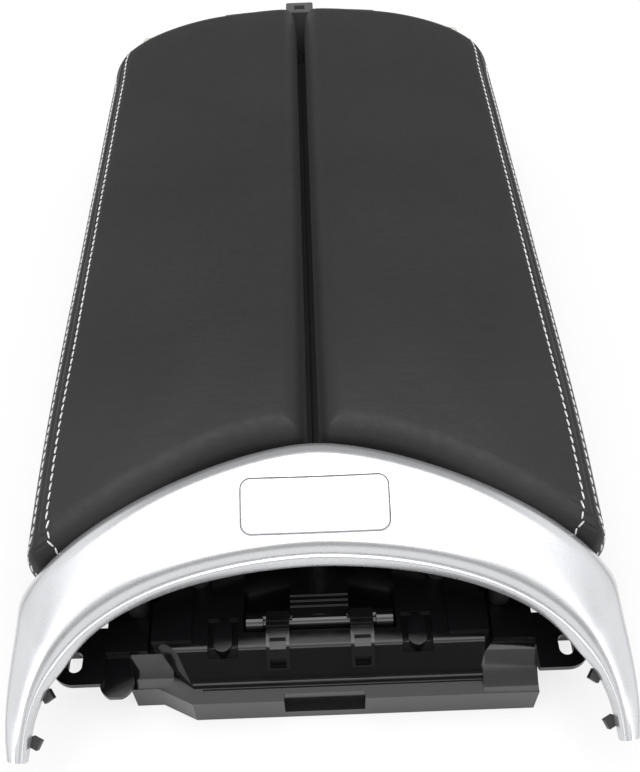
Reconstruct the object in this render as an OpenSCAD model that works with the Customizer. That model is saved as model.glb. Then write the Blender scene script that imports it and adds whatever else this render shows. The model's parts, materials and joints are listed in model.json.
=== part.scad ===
// Split lid for a centre console: two padded half lids hinged at their outer
// sides on a carrier frame, with a silver arch, a release button and latches.
// X points right, Y rearward and Z up. The part rests on Z = 0.

/* [Lids] */
// Width across both lids at their front corners
lid_front_w = 225; // [215:1:235]
// Width across both lids where the rear edge begins to round
lid_rear_w = 214; // [208:1:220]
// Length of a lid's straight outer side
lid_side_len = 310.25; // [290:0.25:330]
// Depth of the rounded rear edge
lid_rear_depth = 52; // [44:1:58]
// Slit between the two lids
lid_gap = 6; // [4:0.5:8]
// Radius of the hollow in the middle of the front edge
front_arc_r = 112; // [100:1:125]
// Angle of the front edge outside the hollow
front_angle = 26.5; // [23:0.5:29]
// Radius of a lid's outer front corner in plan
front_corner_r = 8; // [5:0.5:12]
// Radius of a lid's inner corners in plan
inner_corner_r = 5; // [3:0.5:7]
// Height of the padding at the middle of the lids
pad_h = 36; // [30:1:42]
// Fall of the padding towards the outer sides
pad_side_fall = 9; // [5:0.5:12]
// Further fall of the padding at the front corners
pad_front_fall = 7; // [3:0.5:10]
// Further fall of the padding at the rear
pad_rear_fall = 4; // [2:0.5:6]
// Radius of the roll round the top edge
pad_roll_r = 10; // [7:0.5:12]
// Thickness of the lid's moulded shell
shell_t = 3; // [2.4:0.1:4]
// Distance from the padding's outline in to the shell's edge
shell_inset = 3; // [2:0.5:4]
// Thickness of the cover under the lid
liner_t = 1.5; // [1.2:0.1:2]
// Distance from the hinge line in to the ribs round the cover, at the front
liner_gap = 9; // [8:0.5:13]
// Depth of the shell's ribs
lid_rib_h = 4; // [3:0.5:5]
// Width of a moulded rib
rib_t = 2.5; // [2:0.1:3]

/* [Hinges] */
// Distance from the rear outline of a lid in to the hinge line
hinge_inset = 10; // [8:0.5:12]
// Height of the hinge line over the rail
hinge_rise = 6; // [5.6:0.1:7]
// Height of the lid shell over the hinge line
shell_rise = 5; // [4.8:0.1:6]
// Radius of the hinge rod
rod_r = 2; // [1.5:0.1:2.4]
// Radius of the hinge knuckles
knuckle_r = 4; // [3.4:0.1:4.3]
// Radial running clearance of a pin
pin_clear = 0.05; // [0.02:0.01:0.08]
// Length of a lid knuckle
knuckle_len = 24; // [18:1:30]
// Thickness of a bracket's eye
eye_t = 6; // [4:0.5:8]
// Position of the front hinge
front_hinge_y = -95; // [-105:1:-85]
// Position of the rear hinge
rear_hinge_y = 115; // [100:1:125]
// Thickness of the bracket's foot
foot_t = 1.6; // [1.2:0.1:1.8]

/* [Carrier frame] */
// Height of the side rails
rail_h = 40; // [36:1:46]
// Wall thickness of the mouldings
wall = 3; // [2.4:0.1:3.6]
// Width of the rails' flanges
flange_w = 16.5; // [14:0.5:19]
// Radius of the rear wall in plan
rear_wall_r = 265; // [250:1:290]
// Gap between the lids and the rear wall at the middle
rear_gap = 2; // [1.5:0.1:3]
// Height of the rear wall's middle part over the lid's underside
rear_wall_h = 28; // [24:1:30]
// Width of the rear wall's raised middle part
rear_mid_w = 90; // [80:1:96]
// Width of the rear tab
tab_w = 16.4; // [14:0.2:20]
// Reach of the rear tab behind the wall
tab_reach = 11; // [9:0.5:14]
// Width of the window in the rear tab
tab_window_w = 6.2; // [5:0.1:8]
// Number of ribs in each rail
rail_ribs = 8; // [5:1:10]
// Radius of the fixing holes in the rails' lower flanges
fix_hole_r = 2.75; // [2:0.25:3.25]

/* [Front housing] */
// Height of the housing's deck
deck_h = 30; // [27:0.5:33]
// Thickness of the housing's walls
housing_wall = 2.5; // [2:0.1:3]
// Half width of the housing's middle part
housing_mid_x = 66; // [63:0.5:68]
// Half width of the housing's front part
housing_front_x = 87; // [85:0.5:89]
// Length of the deck ahead of the carrier's front wall
deck_len = 76; // [73:0.5:80]
// Depth of the deck ahead of the well
deck_lip = 6.7; // [5:0.1:8]
// Length of the sloping panel in plan
panel_run = 10.7; // [9:0.1:13]
// Fall of the sloping panel
panel_fall = 13; // [11:0.5:15]
// Reach of the ledge ahead of the panel
chin_run = 6.6; // [5:0.1:8]
// Setback of the lower front face at the left end
left_setback = 7; // [5:0.5:8]
// Height of the side blocks
side_h = 24; // [21:0.5:26]
// Half width of the well that holds the release
well_x = 31; // [29:0.5:33]
// Depth of the well
well_depth = 11; // [10:0.5:12]
// Distance of the ears' slots from the middle
ear_x = 98.8; // [97:0.1:101]
// Thickness of the mounting ears
ear_t = 3; // [2.5:0.1:4]
// Width of the ears' slots
ear_slot_w = 5.7; // [4:0.1:7]
// Length of the ears' slots
ear_slot_len = 8.7; // [7.5:0.1:11]
// Radius of the ears' ends
ear_r = 9.4; // [8:0.1:10]

/* [Silver arch] */
// Wall thickness of the arch
trim_t = 2.5; // [1.8:0.1:3]
// Gap between the lids and the arch at the middle
trim_gap = 4; // [3:0.5:5]
// Depth of the arch at its middle, seen from above
trim_depth = 42; // [38:1:46]
// Reach of the legs ahead of the lids' front corners
leg_reach = 65.75; // [58:0.25:70]
// Height of the legs' tips
tip_h = 34; // [30:1:38]
// Flare of the legs beyond the lids' front corners
leg_flare = 5; // [3:0.5:8]

/* [Release] */
// Width of the button
button_w = 57; // [48:0.5:60]
// Length of the button along the arch's slope
button_len = 21.5; // [18:0.5:23]
// Corner radius of the button
button_corner_r = 4; // [2.5:0.5:5]
// Gap round the button
button_gap = 0.4; // [0.3:0.05:0.6]
// Travel of the button
button_travel = 3; // [2:0.5:3]
// Radius of the rocker's shaft
shaft_r = 3.8; // [3:0.1:4.2]
// Half length of the rocker's shaft
shaft_x = 30; // [28:0.5:30]
// Thickness of the rocker's lever
lever_t = 3; // [2.4:0.1:3.4]
// Distance of the latches from the middle
latch_x = 22; // [21:0.5:23]
// Width of a latch
latch_w = 5.6; // [4.6:0.1:6]
// Radius of the latches' pins
latch_pin_r = 1.5; // [1.2:0.1:1.8]
// Gap between a latch's nose and its striker
nose_gap = 0.5; // [0.4:0.05:0.8]
// Thickness of a striker
striker_t = 2; // [1.5:0.1:2.5]

/* [Hidden] */
$fn = 48;
eps = 0.01;

// Heights that follow from one another
axis_z = rail_h + hinge_rise;
shell_z = axis_z + shell_rise;
pad_z = shell_z + shell_t;
lid_top = pad_z + pad_h;
liner_z = shell_z - lid_rib_h - liner_t;

// Plan positions of the lids
rear_y = 160;
corner_y = rear_y - lid_side_len;
front_run_x = front_arc_r * sin(front_angle);
front_arc_fall = front_arc_r * (1 - cos(front_angle));
crest_y = corner_y + front_arc_fall + (lid_front_w / 2 - front_run_x) * tan(front_angle);
lid_back_y = rear_y + lid_rear_depth;
hinge_x = lid_rear_w / 2 - hinge_inset;
fade_y = crest_y + 48;
rear_fade_y = lid_back_y - 64;
liner_d = lid_front_w / 2 - hinge_x + liner_gap;

// Plan positions of the carrier
rail_out_x = hinge_x + 3.5;
rail_in_x = rail_out_x - flange_w;
wall_y = lid_back_y + rear_gap;
wall_centre_y = wall_y - rear_wall_r;
wall_half_w = hinge_x - 5;
bulkhead_y = crest_y + 10;
tab_back_y = wall_y + tab_reach;
rear_wall_z = shell_z + rear_wall_h;

// Housing positions, Y values
deck_front_y = bulkhead_y - deck_len;
panel_low_y = deck_front_y - panel_run;
chin_y = panel_low_y - chin_run;
panel_a = atan2(panel_fall, panel_run);
panel_low_z = deck_h - panel_fall;
side_edge_y = deck_front_y - 3;
left_edge_y = deck_front_y + 1.5;
ear_y = deck_front_y - 1.7;
ear_z = side_h - 1;
well_front_y = deck_front_y + deck_lip;
well_back_y = bulkhead_y - 12.5;
well_z = deck_h - well_depth;

// Silver arch: edge curves of its right half, as Bezier points
arch_y = crest_y - trim_gap;
arch_z = lid_top - 6.5;
lip_y = arch_y - trim_depth;
lip_z = arch_z - 14.5;
half_w = lid_front_w / 2;
tip_y = corner_y - leg_reach;
shoulder = [half_w + 2, corner_y - 12, arch_z - 24.5];
tip_out = [half_w + leg_flare, tip_y, tip_h];
back_curve = [[0, arch_y, arch_z], [31, arch_y, arch_z],
              [half_w - 18, corner_y + 6.5, arch_z + 3], shoulder];
leg_curve = [shoulder, shoulder + [1.2, -18, -6.4],
             tip_out + [3.6, 17, 7], tip_out];
lip_curve = [[0, lip_y, lip_z], [4, lip_y, lip_z],
             [half_w, lip_y, lip_z], tip_out + [-5.4, -1, -0.5]];
arch_steps = 12;
leg_steps = 6;
mid_steps = 6;
lip_split = 0.8;
lip_power = 0.65;
ridge_h = 5.9;
ridge_in = 8;

// Face of the arch at the middle, where the button sits
face_a = 21.6;
face_y = arch_y - 23.5;
face_z = arch_z - 2.55;
plate_y = -3.7;
cap_depth = 8.5;
cap_wall = 1.6;
cap_t = 2.2;
guide_depth = cap_depth + button_travel + 1.5;
guide_gap = 0.9;
guide_wall = 2;
foot_r = 4;
plate_w = 24;
bar_x = latch_x + 5;
latch_gap = 0.4;
housing_screw_r = 1.8;
housing_screw_z = [8, 17];

// Release mechanism
shaft_y = well_front_y + 5.5;
shaft_z = deck_h - 3;
lever_top = shaft_z + lever_t + 0.5;
foot_gap = 0.3;
foot_z = lever_top + foot_r + foot_gap;
foot_t_len = (face_z - foot_z) / cos(face_a);
foot_y = face_y + foot_t_len * sin(face_a);
form_depth = foot_t_len + 2 * foot_r;
latch_y = bulkhead_y - 8;
bar_y = latch_y - 12;
latch_z = deck_h + 6;
striker_y = latch_y + 4.5;
bar_z = shaft_z;
tail_z = bar_z - foot_gap;
tail_t = 4.4;
pocket_r = 2.5;
pocket_z = well_z - 6;

// Shifts the working frame so that the origin is under the middle of the part
mid_y = (tab_back_y + tip_y - 1.2) / 2;
module placed() {
    translate([0, -mid_y, 0]) children();
}

function unit(v) = v / norm(v);
function bez(p, t) = pow(1 - t, 3) * p[0] + 3 * pow(1 - t, 2) * t * p[1]
                   + 3 * (1 - t) * t * t * p[2] + pow(t, 3) * p[3];
function arc_pts(c, r, a0, a1, n) =
    [for (i = [0:n]) let (a = a0 + (a1 - a0) * i / n) c + r * [cos(a), sin(a)]];

// Points of a closed counter-clockwise outline, moved inward by d
function inset(pts, d) =
    let (n = len(pts))
    [for (i = [0:n - 1])
        let (
            a = pts[(i + n - 1) % n],
            b = pts[i],
            c = pts[(i + 1) % n],
            u = unit(b - a),
            v = unit(c - b),
            m = [-u[1] - v[1], u[0] + v[0]]
        )
        b + m * (2 * d / (m * m))];

// Front edge of the lids at a distance x from the middle, set back by d
function front_y(x, d) =
    x < (front_arc_r + d) * sin(front_angle)
        ? crest_y - front_arc_r + sqrt(pow(front_arc_r + d, 2) - x * x)
        : crest_y - front_arc_fall - (x - front_run_x) * tan(front_angle) + d / cos(front_angle);

// Outer side of the lids, set in by d
function side_x(y, d) =
    half_w - (half_w - lid_rear_w / 2) * (y - corner_y) / lid_side_len - d;

// Plan outline of the right lid, set in by d, counter-clockwise
function lid_outline(d) =
    let (
        x0 = lid_gap / 2 + d,
        r = max(inner_corner_r - d, 1),
        rc = max(front_corner_r - d, 1),
        x1 = (front_arc_r + d) * sin(front_angle),
        corner_cy = front_y(half_w - d - rc - 0.3, d) + rc / cos(front_angle),
        a = lid_rear_w / 2 - d,
        b = lid_rear_depth - d,
        turn = asin((x0 + r) / a),
        back_y = rear_y + b * cos(turn)
    )
    concat(
        arc_pts([x0 + r, front_y(x0 + r, d) + r], r, 180, 262, 4),
        [for (i = [1:5]) let (x = x0 + r + (x1 - x0 - r) * i / 5) [x, front_y(x, d)]],
        [for (i = [1:2]) let (x = x1 + (half_w - d - x1) * i / 3.4) [x, front_y(x, d)]],
        arc_pts([side_x(corner_cy, d) - rc, corner_cy], rc, -90 - front_angle, 0, 6),
        [for (i = [1:5]) let (y = corner_cy + (rear_y - corner_cy) * i / 6) [side_x(y, d), y]],
        [for (i = [0:14]) let (t = 90 - (90 - turn) * i / 14) [a * sin(t), rear_y + b * cos(t)]],
        arc_pts([x0 + r, back_y - r], r, 100, 180, 4),
        [for (i = [1:6]) [x0, back_y - r + (front_y(x0, d) - back_y + 2 * r) * i / 7]]
    );

// Height of the padding's top at a point in plan
function pad_top(p) =
    lid_top - pad_side_fall * pow(abs(p[0]) / half_w, 3)
    - pad_front_fall * pow(max(0, (fade_y - p[1]) / (fade_y - corner_y)), 2)
    - pad_rear_fall * pow(max(0, (p[1] - rear_fade_y) / (lid_back_y - rear_fade_y)), 2);

// Rings of the padding from its underside to its crown
function pad_rings() =
    let (
        r = pad_roll_r,
        low = [[2, 0], [0.6, 2.5], [0, 8]],
        high = [for (a = [0:18:90]) [r * (1 - cos(a)), r * (1 - sin(a))]],
        last = lid_outline(r),
        c = [half_w / 2 + lid_gap / 2, (crest_y + lid_back_y) / 2]
    )
    concat(
        [for (k = low) [for (p = lid_outline(k[0])) [p[0], p[1], pad_z + k[1]]]],
        [for (k = high) [for (p = lid_outline(k[0])) [p[0], p[1], pad_top(p) - k[1]]]],
        [for (s = [0.72, 0.4]) [for (p = last) let (q = c + (p - c) * s) [q[0], q[1], pad_top(q)]]]
    );

module pad_solid() {
    rings = pad_rings();
    n = len(rings[0]);
    m = len(rings);
    c = [half_w / 2 + lid_gap / 2, (crest_y + lid_back_y) / 2];
    points = concat([for (r = rings) each r], [[c[0], c[1], pad_top(c)]]);
    sides = [for (k = [0:m - 2]) for (i = [0:n - 1]) let (j = (i + 1) % n) each
        [[k * n + i, (k + 1) * n + i, (k + 1) * n + j], [k * n + i, (k + 1) * n + j, k * n + j]]];
    crown = [for (i = [0:n - 1]) [(m - 1) * n + i, m * n, (m - 1) * n + (i + 1) % n]];
    base = [for (i = [0:n - 1]) [i, (i + 1) % n, m * n + 1]];
    polyhedron(concat(points, [[c[0], c[1], pad_z]]), concat(sides, crown, base));
}

// Moves a right-hand piece to the left side when side is -1
module on_side(side) {
    if (side > 0) children();
    else mirror([1, 0, 0]) children();
}

module lid_pad(side) {
    placed() on_side(side) pad_solid();
}

module lid_slab(d, z, h) {
    translate([0, 0, z]) linear_extrude(h) polygon(lid_outline(d));
}

module knuckle(y, len, r) {
    translate([hinge_x, y - len / 2, axis_z]) rotate([-90, 0, 0]) cylinder(r = r, h = len);
}

module rod_bore(r) {
    translate([hinge_x, front_hinge_y - 60, axis_z]) rotate([-90, 0, 0])
        cylinder(r = r, h = rear_hinge_y - front_hinge_y + 120);
}

slit = 1;
striker_foot = 12;
striker_w = 12;
lid_screw_r = 1.6;

module lid_ribs(d) {
    difference() {
        polygon(lid_outline(d));
        polygon(lid_outline(d + rib_t));
    }
    intersection() {
        polygon(lid_outline(d + rib_t / 2));
        for (k = [1:5]) translate([0, crest_y + (lid_back_y - crest_y) * k / 6 - rib_t / 2])
            square([half_w, rib_t]);
    }
}

module lid_shell(side) {
    placed() on_side(side) difference() {
        union() {
            lid_slab(shell_inset, shell_z, shell_t);
            translate([slit / 2, crest_y + 8, shell_z])
                cube([lid_gap, lid_back_y - crest_y - 20, shell_t / 2]);
            translate([0, 0, shell_z - lid_rib_h]) linear_extrude(lid_rib_h + 1) lid_ribs(liner_d);
            for (y = [front_hinge_y, rear_hinge_y]) {
                knuckle(y, knuckle_len, knuckle_r);
                translate([hinge_x - knuckle_r, y - knuckle_len / 2, axis_z])
                    cube([2 * knuckle_r, knuckle_len, shell_rise + 1]);
            }
        }
        rod_bore(rod_r + pin_clear);
        lid_screw_holes(lid_screw_r, shell_z - 1);
    }
}

// The lid's fixing points for the striker's foot and the cover
function lid_screw_spots() =
    [[latch_x - 3, striker_y + striker_foot - 3], [latch_x + 3, striker_y + striker_foot - 3]];

module lid_screw_holes(r, z) {
    for (p = lid_screw_spots()) translate([p[0], p[1], z]) cylinder(r = r, h = shell_t + 0.6);
}

module lid_screws(side) {
    foot_z0 = shell_z - striker_t;
    placed() on_side(side) for (p = lid_screw_spots()) {
        translate([p[0], p[1], foot_z0 - 1.2]) {
            difference() {
                cylinder(r = 2.6, h = 1.2);
                for (a = [0, 90]) rotate([0, 0, a]) translate([-1.5, -0.3, -0.5]) cube([3, 0.6, 1]);
            }
            cylinder(r = lid_screw_r, h = 1.2 + striker_t + shell_t - 1);
        }
    }
}

module lid_liner(side) {
    placed() on_side(side) difference() {
        lid_slab(liner_d, liner_z, liner_t);
        translate([0, crest_y, liner_z - 1]) cube([latch_x + 12, 24, liner_t + 2]);
    }
}

module striker(side) {
    z0 = latch_z + 5;
    placed() on_side(side) difference() {
        union() {
            translate([latch_x - striker_w / 2, striker_y, z0]) cube([striker_w, striker_t, shell_z - z0]);
            translate([latch_x - striker_w / 2, striker_y, shell_z - striker_t])
                cube([striker_w, striker_foot, striker_t]);
        }
        translate([latch_x - latch_w / 2 - 0.6, striker_y - 1, latch_z + 7.6])
            cube([latch_w + 1.2, striker_t + 2, 4.8]);
        lid_screw_holes(lid_screw_r, shell_z - striker_t - 1);
    }
}

module hinge_rod(side) {
    len = rear_hinge_y - front_hinge_y + knuckle_len + 2 * eye_t + 4;
    y0 = front_hinge_y - knuckle_len / 2 - eye_t - 2;
    placed() on_side(side) translate([hinge_x, y0, axis_z]) rotate([-90, 0, 0]) {
        cylinder(r = rod_r, h = len);
        translate([0, 0, -1]) cylinder(r = rod_r + 1, h = 1.4);
    }
}

bracket_screw_y = knuckle_len / 2 + eye_t + 5;
module hinge_bracket(side, y) {
    half = knuckle_len / 2 + 0.4;
    reach = half + eye_t + 9;
    placed() on_side(side) difference() {
        union() {
            translate([hinge_x - 6, y - reach, rail_h]) cube([6 + 3.5, 2 * reach, foot_t]);
            for (s = [-1, 1]) translate([0, y + s * (half + eye_t / 2), 0]) {
                knuckle(0, eye_t, knuckle_r);
                translate([hinge_x - knuckle_r, -eye_t / 2, rail_h])
                    cube([2 * knuckle_r - 0.5, eye_t, hinge_rise]);
            }
        }
        rod_bore(rod_r);
        for (s = [-1, 1]) translate([hinge_x - 1, y + s * (bracket_screw_y + 1.4), rail_h - 1])
            cylinder(r = 1.6, h = foot_t + 2);
    }
}

module bracket_screws() {
    placed() for (side = [-1, 1], y = [front_hinge_y, rear_hinge_y], s = [-1, 1])
        translate([side * (hinge_x - 1), y + s * (bracket_screw_y + 1.4), rail_h - wall + 0.5]) {
            cylinder(r = 1.6, h = wall + foot_t);
            translate([0, 0, wall + foot_t - 0.5]) difference() {
                cylinder(r = 3, h = 1.6);
                for (a = [0, 90]) rotate([0, 0, a]) translate([-2, -0.35, 0.8]) cube([4, 0.7, 1]);
            }
        }
}

// Closed tube of radius r swept along a path of 3D points
function tube_points(path, r, n) =
    let (m = len(path))
    [for (i = [0:m - 1])
        let (
            a = path[max(i - 1, 0)],
            b = path[min(i + 1, m - 1)],
            t = unit(b - a),
            up = abs(t[1]) > 0.9 ? [0, 0, 1] : [0, 1, 0],
            u = unit(cross(up, t)),
            v = cross(t, u)
        )
        for (k = [0:n - 1]) path[i] + r * (cos(360 * k / n) * u + sin(360 * k / n) * v)];

module tube(path, r, n) {
    m = len(path);
    sides = [for (i = [0:m - 2]) for (k = [0:n - 1]) let (j = (k + 1) % n) each
        [[i * n + k, (i + 1) * n + k, (i + 1) * n + j], [i * n + k, (i + 1) * n + j, i * n + j]]];
    polyhedron(tube_points(path, r, n),
        concat(sides, [[for (k = [0:n - 1]) k]], [[for (k = [n - 1:-1:0]) (m - 1) * n + k]]));
}

spring_wire_r = 0.7;
spring_coil_r = rod_r + 1.3;
spring_turns = 6;
module hinge_spring(side) {
    y0 = (front_hinge_y + rear_hinge_y) / 2 - 6;
    y1 = y0 + spring_turns * 2.1;
    steps = 14 * spring_turns;
    c = [hinge_x, 0, axis_z];
    coil = [for (i = [0:steps]) let (a = -90 - 360 * spring_turns * i / steps)
        c + [spring_coil_r * cos(a), y0 + (y1 - y0) * i / steps, spring_coil_r * sin(a)]];
    low = [hinge_x - 9, y0, rail_h + spring_wire_r + 0.1];
    high = [hinge_x - liner_gap, y1, shell_z - spring_wire_r - 0.1];
    placed() on_side(side) tube(concat([low], coil, [[hinge_x - 3.2, y1, axis_z - 2], high]),
                                spring_wire_r, 6);
}

module coil_spring(h, r, wire, turns) {
    steps = 12 * turns;
    path = [for (i = [0:steps]) let (a = 360 * turns * i / steps)
        [r * cos(a), r * sin(a), wire + (h - 2 * wire) * i / steps]];
    tube(path, wire, 6);
}

module latch_spring(side) {
    placed() on_side(side) translate([latch_x, bar_y, pocket_z + 0.05])
        coil_spring(tail_z - tail_t - pocket_z - 0.1, pocket_r - 0.6, 0.4, 4);
}

module rocker_spring() {
    placed() translate([0, shaft_y + 22, well_z + 0.05])
        coil_spring(lever_top - lever_t - well_z - 0.1, 3, 0.5, 4);
}

// Plan sector between two radii of the rear wall, for |x| between x0 and x1
function wall_sector(r0, r1, x0, x1, n) =
    concat(
        [for (i = [0:n]) let (x = x0 + (x1 - x0) * i / n) [x, wall_centre_y + sqrt(r0 * r0 - x * x)]],
        [for (i = [n:-1:0]) let (x = x0 + (x1 - x0) * i / n) [x, wall_centre_y + sqrt(r1 * r1 - x * x)]]
    );

outer_tab_x0 = 68;
outer_tab_z = rear_wall_z - 7.6;
outer_tab_run = 2.8;
module rear_wall() {
    r0 = rear_wall_r;
    r1 = rear_wall_r + wall;
    linear_extrude(rail_h + 12) polygon(wall_sector(r0, r1, -rail_out_x, rail_out_x, 24));
    linear_extrude(rear_wall_z)
        polygon(wall_sector(r0, r1 + 0.5, -rear_mid_w / 2, rear_mid_w / 2, 14));
    for (z = [0, rail_h - wall]) translate([0, 0, z]) linear_extrude(wall)
        polygon(wall_sector(r0 - 10, r0 + eps, -rail_out_x, rail_out_x, 24));
    for (side = [-1, 1]) on_side(side) {
        linear_extrude(outer_tab_z) polygon(wall_sector(r0, r1, outer_tab_x0, wall_half_w, 6));
        translate([0, 0, outer_tab_z - wall]) linear_extrude(wall) polygon(concat(
            [for (x = [wall_half_w, (wall_half_w + outer_tab_x0) / 2, outer_tab_x0])
                [x, wall_centre_y + sqrt(r0 * r0 - x * x)]],
            [[outer_tab_x0, wall_centre_y + sqrt(r0 * r0 - pow(outer_tab_x0, 2)) + outer_tab_run + 8.5],
             [outer_tab_x0 + 13, wall_centre_y + sqrt(r0 * r0 - pow(outer_tab_x0, 2)) + outer_tab_run + 2.6],
             [wall_half_w, wall_centre_y + sqrt(r1 * r1 - pow(wall_half_w, 2)) + outer_tab_run - 0.3]]));
    }
}

module rear_tab() {
    r = 1.5;
    translate([0, 0, rear_wall_z - wall]) linear_extrude(wall) difference() {
        union() {
            translate([-tab_w / 2, wall_y + 0.5]) square([tab_w, tab_reach - r - 0.5]);
            translate([-tab_w / 2 + r, wall_y + 0.5]) square([tab_w - 2 * r, tab_reach - 0.5]);
            for (s = [-1, 1]) translate([s * (tab_w / 2 - r), tab_back_y - r]) circle(r);
        }
        translate([-tab_window_w / 2, wall_y + wall - 1]) square([tab_window_w, tab_reach - wall - 2.2]);
    }
    for (s = [-1, 1]) translate([s * (tab_w / 2 - 1.2) - 1.2, 0, 0]) rotate([90, 0, 90])
        linear_extrude(2.4) polygon([[wall_y + 1, rear_wall_z - 20], [wall_y + 3, rear_wall_z - 20],
            [tab_back_y - 2, rear_wall_z - wall], [wall_y + 1, rear_wall_z - wall]]);
}

module side_rail() {
    back_y = wall_centre_y + sqrt(pow(rear_wall_r, 2) - pow(rail_out_x, 2)) + wall;
    len = back_y - rail_front_y;
    translate([rail_out_x - wall, rail_front_y, 0]) cube([wall, len, rail_h]);
    for (z = [0, rail_h - wall]) translate([rail_in_x, rail_front_y, z]) cube([flange_w, len, wall]);
    for (k = [0:rail_ribs]) translate([rail_in_x, rail_front_y + (len - rib_t) * k / rail_ribs, 0])
        cube([flange_w, rib_t, rail_h]);
}

fix_x = rail_out_x - flange_w / 2 - 1;
fix_front_y = -56;
fix_rear_y = 140;
housing_screw_x = 72;
module carrier_frame() {
    color("#3a3b3d") placed() difference() {
        union() {
            for (side = [-1, 1]) on_side(side) side_rail();
            rear_wall();
            rear_tab();
            translate([-rail_in_x - eps, bulkhead_y, 0]) cube([2 * rail_in_x + 2 * eps, wall, rail_h]);
            for (z = [0, rail_h - wall]) translate([-rail_in_x - eps, bulkhead_y, z])
                cube([2 * rail_in_x + 2 * eps, wall + 9, wall]);
            for (s = [-1, 1], z = housing_screw_z)
                translate([s * housing_screw_x, bulkhead_y + wall - eps, z])
                rotate([-90, 0, 0]) cylinder(r = 4, h = 7);
        }
        for (s = [-1, 1], y = [fix_front_y, fix_rear_y]) translate([s * fix_x, y, -1])
            cylinder(r = fix_hole_r, h = wall + 2);
        for (s = [-1, 1], z = housing_screw_z) translate([s * housing_screw_x, bulkhead_y - 1, z])
            rotate([-90, 0, 0]) cylinder(r = 1.8, h = 20);
        for (side = [-1, 1], y = [front_hinge_y, rear_hinge_y], s = [-1, 1])
            translate([side * (hinge_x - 1), y + s * (bracket_screw_y + 1.4), rail_h - wall - 1])
                cylinder(r = 1.6, h = wall + 2);
        for (p = bump_spots()) translate([p[0], p[1], rail_h - wall - 1]) cylinder(r = 1.8, h = wall + 2);
    }
}

function bump_spots() =
    [for (s = [-1, 1]) for (q = [[58, bulkhead_y + 7], [30, wall_y - 6]]) [s * q[0], q[1]]];

module bump_stops() {
    h = liner_z - rail_h - 0.3;
    color("#151515") placed() for (p = bump_spots()) translate([p[0], p[1], rail_h]) {
        cylinder(r = 4, h = h - 1);
        translate([0, 0, h - 1 - eps]) cylinder(r = 3.2, h = 1 + eps);
        translate([0, 0, -wall]) cylinder(r = 1.8, h = wall + eps);
    }
}

module tab_end_caps() {
    r = 2.6;
    h = 9;
    flat = 1.2;
    color("#d9d6cc") placed() for (side = [-1, 1]) on_side(side)
        translate([wall_half_w + flat,
                   wall_centre_y + sqrt(pow(rear_wall_r, 2) - pow(wall_half_w, 2)) + wall + outer_tab_run,
                   outer_tab_z - h]) difference() {
            union() {
                cylinder(r = r, h = h - r);
                translate([0, 0, h - r]) sphere(r = r);
            }
            translate([-flat - r, -r - 1, -1]) cube([r, 2 * r + 2, h + 2]);
        }
}

// Turns a profile given in Y and Z into a solid between two X values
module across(x0, x1) {
    translate([x0, 0, 0]) rotate([90, 0, 90]) linear_extrude(x1 - x0) children();
}

module on_panel() {
    translate([0, deck_front_y, deck_h]) rotate([panel_a, 0, 0]) children();
}

// Section of the housing's middle: deck with a rounded edge and sloping panel
function housing_profile() =
    let (r = 3, c = [deck_front_y + r * tan(panel_a / 2), deck_h - r])
    concat([[panel_low_y, 0], [bulkhead_y, 0], [bulkhead_y, deck_h]],
           arc_pts(c, r, 90, 90 + panel_a, 5), [[panel_low_y, panel_low_z]]);

function housing_core() = [[panel_low_y, 0], [bulkhead_y, 0], [bulkhead_y, deck_h],
    [deck_front_y, deck_h], [panel_low_y, panel_low_z]];

// Section of a side block whose face falls from its top edge to the ledge
function block_profile(edge_y, face_y, back_y) =
    [[face_y, 0], [back_y, 0], [back_y, side_h], [edge_y, side_h],
     [face_y + block_foot, panel_low_z + 0.6], [face_y, panel_low_z - 0.2]];

// Plan of the lower body, with the setback and the facet at its left end
function body_plan() = [
    [-left_end_x, left_face_y], [-facet_end_x, left_face_y], [-facet_x, chin_y],
    [housing_front_x, chin_y], [housing_front_x, front_end_y], [rail_in_x, front_end_y],
    [rail_in_x, bulkhead_y], [-rail_in_x, bulkhead_y], [-rail_in_x, front_end_y],
    [-housing_front_x, front_end_y], [-housing_front_x, left_edge_y], [-left_end_x, left_edge_y]];

function hollow(pts, d) =
    inset([for (p = pts) [p[0], p[1] < 2 ? -d - 1 : p[1]]], d);

ear_back_y = ear_y + ear_r + 5;
ear_root_y = deck_front_y + 1;
// Mounting ear: a slotted plate with a web beside the housing and a wall behind it
module ear(side) {
    slot_run = ear_slot_len - ear_slot_w;
    on_side(side) {
        translate([0, 0, ear_z]) linear_extrude(ear_t) difference() {
            union() {
                translate([housing_front_x, ear_y]) square([ear_x - housing_front_x, ear_back_y - ear_y]);
                translate([housing_front_x, ear_y - ear_r]) square([ear_x - housing_front_x, ear_r + 1]);
                translate([rail_in_x, ear_root_y])
                    square([housing_front_x - rail_in_x + 1, ear_back_y - ear_root_y]);
                translate([ear_x, ear_y]) circle(ear_r);
                translate([ear_x - 1, ear_y]) square([ear_r + 1, ear_back_y - ear_y]);
            }
            for (s = [-1, 1]) translate([ear_x, ear_y + s * slot_run / 2]) circle(ear_slot_w / 2);
            translate([ear_x - ear_slot_w / 2, ear_y - slot_run / 2]) square([ear_slot_w, slot_run]);
        }
        across(housing_front_x - housing_wall, housing_front_x + rib_t / 2) polygon([
            [ear_root_y, ear_web_z], [ear_back_y, ear_web_z],
            [ear_back_y, ear_z + 1], [ear_root_y, ear_z + 1]]);
        across(housing_front_x, housing_front_x + rib_t) polygon([[ear_y - ear_r + 1, ear_z + 1],
            [ear_y - ear_r + 1, ear_z - 1], [ear_back_y, ear_web_z], [ear_back_y, ear_z + 1]]);
        translate([housing_front_x, ear_back_y - wall, ear_web_z])
            cube([ear_x + ear_r - housing_front_x, wall, ear_z + ear_t - ear_web_z]);
    }
}

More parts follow.
